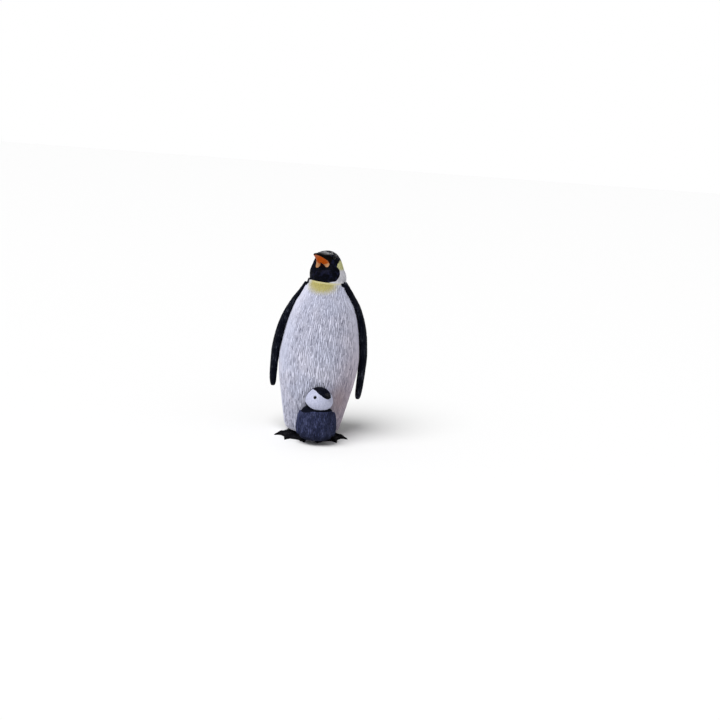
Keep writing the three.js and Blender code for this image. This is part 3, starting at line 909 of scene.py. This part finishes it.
def belly_marks(points, z, wide):
    """Where the colours of the front lie, from its points, their heights and its half widths."""
    x, below = points[..., 0], NECK_Z - z
    bearing = np.degrees(np.arctan2(x, -points[..., 1]))
    spread = fade(np.abs(bearing + 17), 8, 74)
    left_wing = 3.1 * fade(below, 0.8, 2.8) - 0.6
    right_wing = 1.3 * fade(below, 1.2, 4.4) - 0.6
    wing = np.where(bearing > 0, left_wing, right_wing) - (wide - np.abs(x))
    calm = 0.55 - 0.75 * ease(below, 22, 50)
    worked = 1 - calm * ease(np.abs(bearing - 3), 35, 80)
    return {
        "chest": spread * fade(below, 0.8, 7.2 - 0.03 * np.abs(bearing + 20)),
        # Where the painted highlight along the edge of the neck seat lies
        "rim": fade(below, 0.4, 0.85) * fade(np.abs(bearing - 12), 40, 75),
        "shoulder": np.maximum(behind_flipper(points), wing),
        "throat": -below - throat_line(x) - 0.15,
        # Where the painted shade lies: the belly's +X side, growing lower down
        "right_shade": ease(bearing, 8, 55) * ease(below, 6, 50),
        # Where the painted shadow of the chick's head falls on the belly, to its +X side
        "chick_shadow": hump(x, CHICK_X + 7.6, 3.4) * hump(z, CHICK_NECK_Z + 3, 6.5),
        "worked": worked * (0.7 + 0.3 * ease(below, 6, 18)),
    }


def torso_half(name, side, rows, columns):
    """One torso half as a feathered skin: side -1 is the front and 1 the back."""
    # The rows stand closer at the hem
    hem_rows, hem_share = 13, 0.05
    hem = np.linspace(0, hem_share, hem_rows + 1)[:-1]
    share = upright(np.concatenate([hem, np.linspace(hem_share, 1, rows - hem_rows)]))
    z = HEM + TORSO_HEIGHT * share
    wide, front, back = torso_size(share)
    meet = parting_angle(PARTING_Y if side < 0 else PARTING_Y + GLUE_LINE, back)
    along = np.linspace(0, 1, columns)
    if side < 0:
        angle = math.pi - meet + (math.pi + 2 * meet) * along
    else:
        angle = meet + (math.pi - 2 * meet) * along
    centre = stack(0.0, 0.0, z)
    points = rings(centre, X_AXIS, Y_AXIS, wide, back, front, angle, TORSO_SQUARENESS)
    # The relief dies away at the parting edges, the hem and the neck, and is calmer at the sides
    from_edge = np.minimum(along, 1 - along) * math.pi * ((wide + front) / 2)
    relief = ease(from_edge, 0.1, 1.4)
    relief *= ease(z - HEM, 0.2, 2.0) * ease(NECK_Z - z, 0.1, 1.2)
    marks = {}
    if side < 0:
        facing = np.degrees(np.arctan2(np.abs(points[..., 0] - 0.8), -points[..., 1]))
        relief *= 1 - 0.3 * ease(z, 8, 30) * ease(facing, 35, 80)
        marks = belly_marks(points, z, wide)
    marks = {**marks, "relief": relief, "grain": 0.6 + 0.4 * ease(share, 1.0, 0.72)}
    return skin(name, leaned(points), marks, open_sides=True)


def head_curves():
    """Curves of the head's sections, the first of which follows the torso's top."""
    wide, front, back = (float(size) - COLLAR_STEP for size in torso_size(1))
    return curves([[0, 0, 0, wide, back, front], *HEAD_SECTIONS])


throat_line = through(THROAT_LINE)


def head_set(points):
    """Head points from its own frame, facing -Y over its base, to their place on the torso."""
    turned = yawed(points, HEAD_YAW)
    x = turned[..., 0] - HEAD_DRIFT * turned[..., 2] + HEAD_SHIFT_X
    return leaned(stack(x, turned[..., 1], turned[..., 2] + NECK_Z + SEAT_GAP))


# Borders of the paint on the head. Rows of the plate: section, inner and outer degrees from the chin
PLATE_BORDER = [
    [2.6, 27, 38],
    [3.4, 22, 39],
    [4.0, 10, 42],
    [4.45, -2, 45],
    [4.95, -8, 50],
    [5.6, -18, 61],
    [6.3, -30, 79],
    [7, -60, 103],
    [8, -90, 115],
    [9, -90, 115],
    [10, -90, 117],
]
# Section, then degrees from the chin
GAPE_LINE = [[4.4, 82], [5, 84], [6, 93], [7, 108], [8, 116], [9, 119], [10, 120]]
# Degrees from the chin, then section
FEATHER_END = [[0, 5.0], [28, 3.85], [60, 4.4], [90, 4.9], [120, 5.3], [180, 5.7]]
# Borders of the white neck side: height, then the degrees from the front where it begins and ends
NECK_BAND = [
    [-1, 50, 124],
    [0, 54, 125],
    [0.8, 60, 127],
    [1.9, 68, 130],
    [3.9, 77, 134],
    [5.4, 79, 134],
    [6.4, 71, 132],
    [7.0, 74, 129],
    [7.6, 79, 125],
    [8.3, 91, 119],
    [8.9, 104, 110],
]


def head_piece(rows, columns):
    """The head moulding: a feathered hood, with the bill, its plates, the gape and eye sockets."""
    forward, up, lean, half_width, crown, throat = head_curves()
    at = upright(np.linspace(0, len(HEAD_SECTIONS), rows))
    angle = all_round(columns)
    tilt = np.radians(lean(at))
    centre = stack(0.0, -forward(at), up(at))
    upwards = stack(0.0, np.cos(tilt), np.sin(tilt))
    points = rings(centre, X_AXIS, upwards, half_width(at), crown(at), throat(at), angle)
    side, ahead, height = points[..., 0], -points[..., 1], points[..., 2]
    from_chin = np.degrees(np.arccos(np.clip(-np.sin(angle), -1, 1)))
    girth = (half_width(at) + (crown(at) + throat(at)) / 2) / 2
    arc = girth * math.pi / 180
    # Millimetres from one section of the bill to the next
    row_length = 1.75
    inner, outer = through(PLATE_BORDER, 1)(at), through(PLATE_BORDER, 2)(at)
    # The lobe on the right lies nearer to the chin's line and runs further down
    spot = from_chin + 12 * (side < 0) * fade(at, 3.2, 5)
    plate = np.minimum((spot - inner) * arc, (outer - spot) * arc)
    start = 3.55 - 0.35 * (side < 0) + 0.4 * ((spot - 30) / 12) ** 2
    plate = np.minimum(plate, (at - start) * row_length)
    plate = np.minimum(plate, (9.5 - at) * row_length)
    chin = np.minimum((inner - from_chin) * arc, (at - 3.7) * row_length)
    gape_off = (from_chin - through(GAPE_LINE)(at)) * arc
    gape_length = ease(at, 4.3, 4.7) * fade(at, 9.7, 9.9)
    gape = hump(gape_off, 0, 0.16) * gape_length
    horn = ease(at - through(FEATHER_END)(from_chin), -0.06, 0.06)
    beak = ease(at, 3.5, 4.0)

    # The white of the neck's side, and of the line that it shares with the torso's collar
    bearing = np.degrees(np.arctan2(np.abs(side), ahead))
    begins, ends = through(NECK_BAND, 1)(height), through(NECK_BAND, 2)(height)
    band = np.minimum(bearing - begins, ends - bearing) * math.pi / 180 * np.hypot(side, ahead)
    band = np.where(height > NECK_BAND[-1][0], -1.0, band)
    turned = yawed(points, HEAD_YAW)
    across_neck = turned[..., 0] - HEAD_DRIFT * turned[..., 2] + HEAD_SHIFT_X
    rim_white = throat_line(across_neck) - height - SEAT_GAP
    band = np.maximum(band, rim_white - 3 * ease(turned[..., 1], -1, 1))

    # Sculpted relief, along the way out of the skin
    lift = PLATE_LIFT * ease(plate, -0.12, 0.12) * beak
    lift -= GAPE_CUT * gape
    lift += LIP_LIFT * hump(gape_off, -0.4, 0.25) * gape_length * (at < 7)
    lift += CULMEN_LIFT * horn * ease(from_chin, 90, 180) * (at > 5)
    nostril = hump((from_chin - 140) * arc, 0, 0.14)
    nostril = nostril * ease(at, 6.0, 6.2) * fade(at, 7.2, 7.5)
    lift -= NOSTRIL_CUT * nostril
    from_eye = from_eyes(points, eye_centre)
    lift += EYE_RIM_LIFT * hump(from_eye, EYE_RADIUS + 0.35, 0.25)
    lift -= NECK_SIDE_CUT * ease(side, 1.5, 5) * ease(height, 2, 6) * ease(bearing, 40, 80)
    points = raised(points, lift)

    relief = (1 - horn) * ease(from_eye, EYE_RADIUS + 0.5, EYE_RADIUS + 1.2)
    relief *= fade(plate, -0.3, 0.1)
    # The top of the head, which carries the crown's painted highlight
    top = ease(from_chin, 105, 150) * ease(at, 3.2, 3.8) * fade(at, 6.6, 7.4)
    marks = {
        "relief": relief * ease(height, -0.3, 0.4),
        "grain": 0.5 + 0.5 * ease(height, 9, 3),
        "plate": plate,
        "plate_end": fade(at, 4.1, 4.9),
        "plate_tip": ease(at, 7.2, 9),
        "beak": beak,
        "chin": chin,
        "gape": gape,
        "horn": horn,
        "band": band,
        "ear": ease(height, 3.8, 6.4),
        "crown": top * ease(from_eye, EYE_RADIUS + 0.4, EYE_RADIUS + 1.4),
    }
    points, marks = sunk(points, marks, HEAD_SINK)
    return skin("head_moulding", head_set(points), marks)


def eye_centre(side):
    forward, up, _, half_width, _, _ = head_curves()
    x = side * (float(half_width(EYE_SECTION)) - EYE_SINK)
    return x, -float(forward(EYE_SECTION)), float(up(EYE_SECTION))


def ball(centre, radii, rows=24, columns=32):
    """A ball as a grid that grows upwards."""
    polar = np.linspace(BALL_POLE, math.pi - BALL_POLE, rows)
    angle = all_round(columns)
    across = upright(np.sin(polar))
    x = centre[0] + radii[0] * across * np.cos(angle)
    y = centre[1] + radii[1] * across * np.sin(angle)
    z = centre[2] - radii[2] * upright(np.cos(polar))
    return stack(x, y, z)


def flipper_piece(name, side, rise, length, forward, reach, root, rows, columns):
    """One flipper: it follows the torso down to its widest point and hangs straight from there."""
    top = NECK_Z + rise
    widest = HEM + TORSO_HEIGHT * WIDEST
    tip = top - length
    # Rows lie closer at both ends than in the middle
    share = 0.5 - 0.5 * np.cos(np.linspace(0.06, 1, rows) * math.pi)
    share = (share - share[0]) / (1 - share[0])
    share = 0.35 * share + 0.65 * np.linspace(0, 1, rows)
    z = top + (tip - top) * share
    thickness = root + (FLIPPER_THICKNESS - root) * ease(share, 0, 0.5)
    chord = FLIPPER_ROOT_CHORD + (FLIPPER_CHORD - FLIPPER_ROOT_CHORD) * ease(share, 0, 0.42)
    taper = 1 - FLIPPER_TAPER * ease(share, 0.5, 1)
    past = np.maximum(share - 1 + FLIPPER_TIP_ROUND, 0) / FLIPPER_TIP_ROUND
    before = np.maximum(1 - share / FLIPPER_TOP_ROUND, 0)
    rounding = np.sqrt(np.maximum(1 - past**2 - before**2, 0.0006))

    ahead, y = flipper_line(share, forward, reach)

    def line_x(height):
        stand_off = SEAT_GAP + thickness / 2
        hanging = TORSO_HALF_WIDTH - FLIPPER_TUCK * ((widest - height) / (widest - tip)) ** 2
        wide, front, _ = torso_at(height)
        turn = (1 - (ahead / front) ** TORSO_SQUARENESS) ** (1 / TORSO_SQUARENESS)
        return np.where(height > widest, wide * turn, hanging) + stand_off

    slope = line_x(z + 0.5) - line_x(z - 0.5)
    wide, front, _ = torso_at(z)
    bearing = np.arctan2(ahead / front**2, line_x(z) / wide**2)
    across = unit(stack(side * np.cos(bearing), -np.sin(bearing), -slope))[:, None]
    backward = stack(-np.sin(bearing), -side * np.cos(bearing), 0.0)[:, None]
    centre = stack(side * line_x(z), y, z)[:, None]
    half_chord = upright(chord / 2 * taper * rounding)
    half_thick = thickness / 2 * np.sqrt(rounding)
    angle = all_round(columns)
    # The inner face sinks into the torso's side, so that no light shows between them
    inner = upright(half_thick + FLIPPER_SINK * fade(share, 0.55, 0.9))
    thick = np.where(np.cos(angle) > 0, upright(half_thick), inner)
    points = rings(centre, across, backward, thick, half_chord, half_chord, angle, FLIPPER_SQUARENESS)
    share = upright(share)
    wave = np.sin(points[..., 1] * 1.3 + 0.1 * points[..., 2])
    points = raised(points, FLIPPER_WAVE * wave * ease(share, 0.05, 0.2))
    marks = {
        "relief": ease(share, 0, 0.04) * (1 - 0.6 * ease(share, 0.95, 1)),
        "grain": 1 - 0.4 * ease(share, 0.5, 1),
    }
    return skin(name, leaned(points), marks)


def toe_rings(length):
    """A toe with knuckles, and its curved claw, along -Y from the ankle."""
    table = [
        [0, 1, 1],
        [0.45 * length, 0.95, 0.92],
        [0.8 * length, 0.92, 0.85],
        [length, 0.62, 0.6],
        [length + 0.15 * CLAW_LENGTH, 0.4, 0.5],
        [length + 0.6 * CLAW_LENGTH, 0.27, 0.36],
        [length + CLAW_LENGTH, 0.06, 0.1],
    ]
    along = np.linspace(0, length + CLAW_LENGTH, 60)
    wide, high = through(table, 1)(along), through(table, 2)(along)
    knuckle = 1 + 0.07 * np.cos((along - 0.82 * length) * 2 * math.pi / 2.8) * (along < length)
    half_wide, half_high = upright(TOE_RADIUS * wide * knuckle), upright(TOE_HEIGHT * high * knuckle)
    centre = stack(0.0, -upright(along), 0.0)
    return rings(centre, X_AXIS, Z_AXIS, half_wide, half_high, half_high, all_round(40))


def web_rings():
    """The web between the toes: thick at the ankle, thin and hollow at its edge."""
    tips = np.array([[math.sin(math.radians(t)), -math.cos(math.radians(t))] for t, _ in TOES])
    tips = tips * WEB_REACH * np.array([[length] for _, length in TOES])
    edge = []
    for near, far in zip(tips[:-1], tips[1:]):
        notch = (near + far) / 2 * (1 - WEB_HOLLOW)
        for u in np.linspace(0, 1, 16, endpoint=False):
            edge.append((1 - u) ** 2 * near + 2 * u * (1 - u) * notch + u * u * far)
    edge.append(tips[-1])
    edge += [np.array([TOE_RADIUS, TOE_RADIUS]), np.array([-TOE_RADIUS, TOE_RADIUS])]
    # Rows: height, then how far the edge spreads there
    levels = [[0.0, 1.0], [0.55, 1.0], [0.8, 0.97], [0.95, 0.85], [1.1, 0.5], [1.25, 0.1]]
    return np.array([[[*(p * spread), z] for p in edge] for z, spread in levels])


def foot_piece(name, side):
    """One webbed foot, fused from its toes, web and instep, and scored with scutes."""
    grids = [yawed(toe_rings(length), -math.radians(turn)) for turn, length in TOES]
    instep = (INSTEP[0] / 2, INSTEP[1] / 2, 2 * TOE_HEIGHT)
    grids += [web_rings(), ball((0, 0, 0), instep, 40, 60)]
    corners, faces, start = [], [], 0
    for grid in grids:
        corners.append(with_ends(grid))
        faces += [[start + i for i in face] for face in faces_round(*grid.shape[:2])]
        start += len(corners[-1])
    piece = new_piece(name, mesh_of(name, np.concatenate(corners), faces, {}))
    modified(piece, "REMESH", mode="VOXEL", voxel_size=FOOT_VOXEL)
    modified(piece, "SMOOTH", factor=0.5, iterations=3)
    mesh = piece.data
    points = corners_of(mesh)
    normals = np.empty(points.size, np.float32)
    mesh.vertex_normals.foreach_get("vector", normals)
    normals = normals.reshape(-1, 3)
    claw = np.zeros(len(points))
    lift = np.zeros(len(points))
    for turn, length in TOES:
        turned = yawed(points, math.radians(turn))
        off, along = np.abs(turned[:, 0]), -turned[:, 1]
        claw = np.maximum(claw, ease(along, length + 0.1, length + 0.35) * (off < 1.2))
        cuts = SCUTE_CUT * hump((along / SCUTE_LENGTH) % 1.0, 0.5, 0.17)
        cuts = cuts * fade(off, 0.75 * TOE_RADIUS, 1.05 * TOE_RADIUS)
        cuts = cuts * ease(along, 2.5, 3.5)
        lift -= cuts * fade(along, length - 0.6, length - 0.3)
        lift -= CLAW_BASE_CUT * hump(along, length + 0.12, 0.16) * (off < 1.3)
    lift *= ease(normals[:, 2], 0.0, 0.4)
    points = points + normals * lift[:, None]
    points[:, 2] = np.maximum(points[:, 2], 0)
    points[:, 0] = side * (points[:, 0] + ANKLE_X)
    points[:, 1] += ANKLE_Y
    mesh.vertices.foreach_set("co", points.ravel())
    if side < 0:
        mesh.flip_normals()
    add_mark(mesh, "claw", claw)
    mesh.shade_smooth()
    mesh.update()
    return piece


def tail_piece(rows, columns):
    """The short tail, a wedge of stiff feathers that props the figure from behind."""
    surface = torso_at(TAIL_ROOT_HEIGHT)[2]
    drop = TAIL_ROOT_HEIGHT - TAIL_GROUND_GAP
    at = upright(np.linspace(0, len(TAIL_OUTLINE) - 1, rows))
    out, down, wide, thick = (curve(at) for curve in curves(TAIL_OUTLINE))
    back_down = unit(np.array([0, TAIL_ROOT_HEIGHT, TAIL_REACH]))
    centre = stack(0.0, surface + out * TAIL_REACH, TAIL_ROOT_HEIGHT - down * drop)
    wide = TAIL_HALF_WIDTH * wide
    points = rings(centre, -X_AXIS, back_down, wide, thick, thick, all_round(columns), TAIL_SQUARENESS)
    feathers = np.abs(np.sin(points[..., 0] * math.pi / TAIL_FEATHER_WIDTH))
    cut = fade(feathers, 0, 0.5) * ease(at, 0.8, 2.0)
    points = raised(points, -TAIL_FEATHER_CUT * cut)
    points[..., 2] = np.maximum(points[..., 2], 0)
    marks = {"relief": fade(at, 4.6, 5.0), "grain": np.ones((rows, 1)), "fold": cut}
    return skin("tail_feathers", points, marks)


# Pieces of the chick


def chick_body_piece(rows, columns):
    """The chick's downy body, with its flippers folded along its sides and a dark collar."""
    girth = through(CHICK_BODY_OUTLINE)
    share = upright(np.linspace(0, 1, rows))
    wide, deep = CHICK_HALF_WIDTH * girth(share), CHICK_DEPTH * girth(share)
    centre = stack(CHICK_X, CHICK_Y, CHICK_BASE_Z + CHICK_BODY_HEIGHT * share)
    points = rings(centre, X_AXIS, Y_AXIS, wide, deep, deep, all_round(columns), CHICK_SQUARENESS)
    x, y = points[..., 0] - CHICK_X, points[..., 1] - CHICK_Y
    height = CHICK_BODY_HEIGHT * share
    # A folded flipper is a long oval on each side, with a sharp step all round
    tall = 0.42 * CHICK_BODY_HEIGHT
    round_it = np.sqrt(((y - 0.2) / 4.4) ** 2 + ((height - 0.52 * CHICK_BODY_HEIGHT) / tall) ** 2)
    on_side = np.abs(x) > 3
    flap = fade(round_it, 0.86, 1.0) * on_side
    fold = hump(round_it, 1.04, 0.07) * on_side
    seam = hump(x + 0.4, 0, 0.2) * (y < 0) * fade(share, 0.25, 0.45)
    points = raised(points, WING_LIFT * flap - WING_FOLD_CUT * fold - CHICK_SEAM_CUT * seam)
    # Painted shade: darker towards the ground and towards the +X side, away from the light
    chick_shade = 0.75 * ease(height, 3.2, 0) + 0.3 * ease(x, 1.5, 7)
    marks = {
        "relief": ease(share, 0, 0.05) * fade(share, 0.96, 1) * (1 - 0.7 * fold),
        "grain": np.ones((rows, 1)),
        "fold": np.maximum(fold, seam * 0.6),
        "chick_shade": np.minimum(chick_shade, 0.85),
        "collar": CHICK_BODY_HEIGHT * (share - 1) + 0.1 + 0.8 * ease(-x, 1.5, 6),
    }
    # The collar climbs inwards as a ruff, up to where the head rests in it
    axis = np.array([CHICK_X + CHICK_HEAD_SHIFT, CHICK_Y, CHICK_NECK_Z])
    rim = points[-1:] - axis
    for step in range(1, RUFF_RINGS + 1):
        inwards = 1 - RUFF_STEP * step
        ring = axis + rim * (inwards, inwards, 1) + (0, 0, CHICK_RUFF * step / RUFF_RINGS)
        points = np.concatenate([points, ring])
    for title, values in marks.items():
        marks[title] = np.concatenate([values, np.repeat(values[-1:], RUFF_RINGS, axis=0)])
    marks["collar"][-RUFF_RINGS:] = 1
    return skin("chick_down_body", points, marks)


def chick_set(points):
    """Chick head points from its own frame to their place on the chick's body."""
    seat = np.array([CHICK_X + CHICK_HEAD_SHIFT, CHICK_Y, CHICK_NECK_Z + SEAT_GAP])
    return yawed(points, CHICK_YAW) + seat


# Lower border of the chick's black cap: degrees from the front, then height
CAP_BORDER = [[0, 4.9], [12, 5.1], [21, 5.5], [39, 6.5], [64, 7.5], [90, 7.9], [180, 8.0]]
CAP_REAR = 128


def chick_head_piece(rows, columns):
    """The chick's round head, with its black cap, white cheeks and eye sockets."""
    share = upright(np.linspace(0, 1, rows))
    half = CHICK_HEAD_HALF_WIDTH * through(CHICK_HEAD_OUTLINE)(share)
    centre = stack(0.0, 0.0, CHICK_HEAD_HEIGHT * share)
    points = rings(centre, X_AXIS, Y_AXIS, half, 0.94 * half, 0.98 * half, all_round(columns))
    side, ahead, height = points[..., 0], -points[..., 1], points[..., 2]
    bearing = np.degrees(np.arctan2(np.abs(side), ahead))
    above = height - through(CAP_BORDER)(bearing)
    behind = (bearing - CAP_REAR) * math.pi / 180 * np.hypot(side, ahead)
    nape = 2.6 * ease(bearing, 55, 130) + 0.5 - height
    cap = np.maximum(np.maximum(above, behind), nape)
    from_eye = from_eyes(points, chick_eye_centre)
    lift = CAP_LIFT * ease(cap, -0.1, 0.12)
    lift -= CHICK_EYE_CUT * hump(from_eye, CHICK_EYE_RADIUS + 0.1, 0.2)
    lift += CHICK_EYE_RIM_LIFT * hump(from_eye, CHICK_EYE_RADIUS + 0.5, 0.25)
    points = raised(points, lift)
    relief = ease(from_eye, CHICK_EYE_RADIUS + 0.3, CHICK_EYE_RADIUS + 1.0)
    relief *= fade(share, 0.95, 1) * ease(share, 0, 0.06)
    marks = {"relief": relief, "grain": np.ones((rows, 1)), "cap": cap}
    points, marks = sunk(points, marks, CHICK_HEAD_SINK)
    return skin("chick_head_moulding", chick_set(points), marks)


def chick_eye_centre(side):
    girth = through(CHICK_HEAD_OUTLINE)
    reach = CHICK_HEAD_HALF_WIDTH * float(girth(CHICK_EYE_SHARE)) - CHICK_EYE_SINK
    bearing = math.radians(side * CHICK_EYE_BEARING)
    return reach * math.sin(bearing), -reach * math.cos(bearing), CHICK_HEAD_HEIGHT * CHICK_EYE_SHARE


def chick_beak_rings(rows, columns):
    """The chick's short beak, with its mouth line."""
    at = upright(np.linspace(0, len(CHICK_BEAK) - 1, rows))
    out, high, wide, tall = (curve(at) for curve in curves(CHICK_BEAK))
    angle = all_round(columns)
    centre = stack(0.0, -CHICK_HEAD_HALF_WIDTH * out, CHICK_HEAD_HEIGHT * high)
    points = rings(centre, X_AXIS, Z_AXIS, wide, tall, tall, angle)
    mouth = hump(np.degrees(np.arcsin(np.sin(angle))), -12, 9) * (at > 0.8) * (at < 2.9)
    return raised(points, -CHICK_MOUTH_CUT * mouth)


# The figurine

belly = belly_paint()
back = dark_paint("back_paint", "#3d4458", 0.5)
head = head_paint()
flipper = dark_paint("flipper_paint", "#5c606c", 0.5)
foot = foot_paint()
down = chick_down_paint()
face = chick_face_paint()
eye = gloss_paint("eye_gloss", "#030304", 0.1, 0.12)
beak = gloss_paint("chick_beak_gloss", "#05060d", 0.5, 0.0)
plumage = plumage_tree()

DETAIL = 1.0
SIDES = (("left", 1), ("right", -1))


def fine(count):
    return int(count * DETAIL)


front_half = torso_half("belly_feathers", -1, fine(290), fine(330))
back_half = torso_half("back_feathers", 1, fine(290), fine(270))
feathered(front_half, belly, ["torso_front"])
feathered(back_half, back, ["torso_back"])
feathered(head_piece(fine(320), fine(270)), head, ["head"])
for label, side in SIDES:
    radii = (EYE_RADIUS * EYE_FLATNESS, EYE_RADIUS, EYE_RADIUS)
    dress(skin(f"eye_{label}", head_set(ball(eye_centre(side), radii))), eye)

for label, sizes in FLIPPERS.items():
    arm = flipper_piece(f"flipper_{label}_moulding", **sizes, rows=fine(300), columns=fine(150))
    feathered(arm, flipper, [f"flipper_{label}"])
for label, side in SIDES:
    dress(foot_piece(f"foot_{label}_moulding", side), foot, [f"foot_{label}"])
feathered(tail_piece(150, 180), back, ["tail"])

feathered(chick_body_piece(fine(210), fine(400)), down, ["chick_body"])
feathered(chick_head_piece(fine(190), fine(300)), face, ["chick_head"])
for label, side in SIDES:
    dot = chick_set(ball(chick_eye_centre(side), (CHICK_EYE_RADIUS,) * 3))
    dress(skin(f"chick_eye_{label}", dot), eye)
dress(skin("chick_beak", chick_set(chick_beak_rings(40, 36))), beak)


# Floor, light and camera

FLOOR_HALF = 4.0
FLOOR_BRIGHTNESS = 0.95
AMBIENT = 0.36
SUN_ENERGY = 2.55
SUN_SPREAD = math.radians(45)
SUN_FROM = Vector((-0.33, -0.34, 0.88))
# The camera looks from the front and a little above, rolled as in the photograph. The lens and the
# sensor are in millimetres, and the rest is in metres and radians.
CAMERA_DISTANCE = 0.45
CAMERA_ELEVATION = math.radians(11)
CAMERA_ROLL = math.radians(3.8)
CAMERA_LENS = 54.2
CAMERA_SENSOR = 36
TARGET_HEIGHT = 0.037
AIM_RIGHT = 0.0179
AIM_DOWN = 0.0062

floor_mesh = bpy.data.meshes.new("floor")
corners = [(-1, -1), (1, -1), (1, 1), (-1, 1)]
floor_mesh.from_pydata([(x * FLOOR_HALF, y * FLOOR_HALF, 0) for x, y in corners], [], [(0, 1, 2, 3)])
floor = new_piece("floor", floor_mesh)
floor_paint = bpy.data.materials.new("floor_paint")
floor_paint.use_nodes = True
floor_surface = floor_paint.node_tree.nodes["Principled BSDF"]
floor_surface.inputs["Base Color"].default_value = (*[FLOOR_BRIGHTNESS] * 3, 1)
floor_surface.inputs["Roughness"].default_value = 0.9
floor_mesh.materials.append(floor_paint)
floor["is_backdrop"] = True

# The camera sees a white backdrop, and the figurine gets a weaker light from it
world = bpy.data.worlds.new("studio")
world.use_nodes = True
studio = Board(world.node_tree)
studio.tree.nodes.clear()
white = (1.0, 1.0, 1.0, 1.0)
backdrop = studio.node("ShaderNodeBackground", {"Color": white, "Strength": 1.0})
ambient = studio.node("ShaderNodeBackground", {"Color": white, "Strength": AMBIENT})
seen = studio.node("ShaderNodeLightPath")["Is Camera Ray"]
both = studio.node("ShaderNodeMixShader", {0: seen, 1: ambient, 2: backdrop})
studio.node("ShaderNodeOutputWorld", {"Surface": both})
scene.world = world
scene.view_settings.view_transform = "Standard"

soft_sun = bpy.data.lights.new("soft_sun", "SUN")
soft_sun.energy = SUN_ENERGY
soft_sun.angle = SUN_SPREAD
lamp = new_piece("soft_sun", soft_sun)
lamp.rotation_euler = SUN_FROM.to_track_quat("Z", "Y").to_euler()

target = Vector((SHIFT[0], SHIFT[1], TARGET_HEIGHT))
backward = Vector((0, -math.cos(CAMERA_ELEVATION), math.sin(CAMERA_ELEVATION)))
level = Vector((1, 0, 0))
rise = backward.cross(level)
right = level * math.cos(CAMERA_ROLL) + rise * math.sin(CAMERA_ROLL)
above = rise * math.cos(CAMERA_ROLL) - level * math.sin(CAMERA_ROLL)
stand = target + backward * CAMERA_DISTANCE
aim = target + right * AIM_RIGHT - above * AIM_DOWN
look = (stand - aim).normalized()
side_axis = above.cross(look).normalized()
top_axis = look.cross(side_axis)
camera = new_piece("camera", bpy.data.cameras.new("camera"))
camera.data.lens = CAMERA_LENS
camera.data.sensor_width = CAMERA_SENSOR
camera.matrix_world = Matrix([*zip(side_axis, top_axis, look, stand), (0, 0, 0, 1)])
scene.camera = camera

dressed_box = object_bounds()
sizes = {"cad": [list(corner) for corner in cad_box], "visual": [list(corner) for corner in dressed_box]}
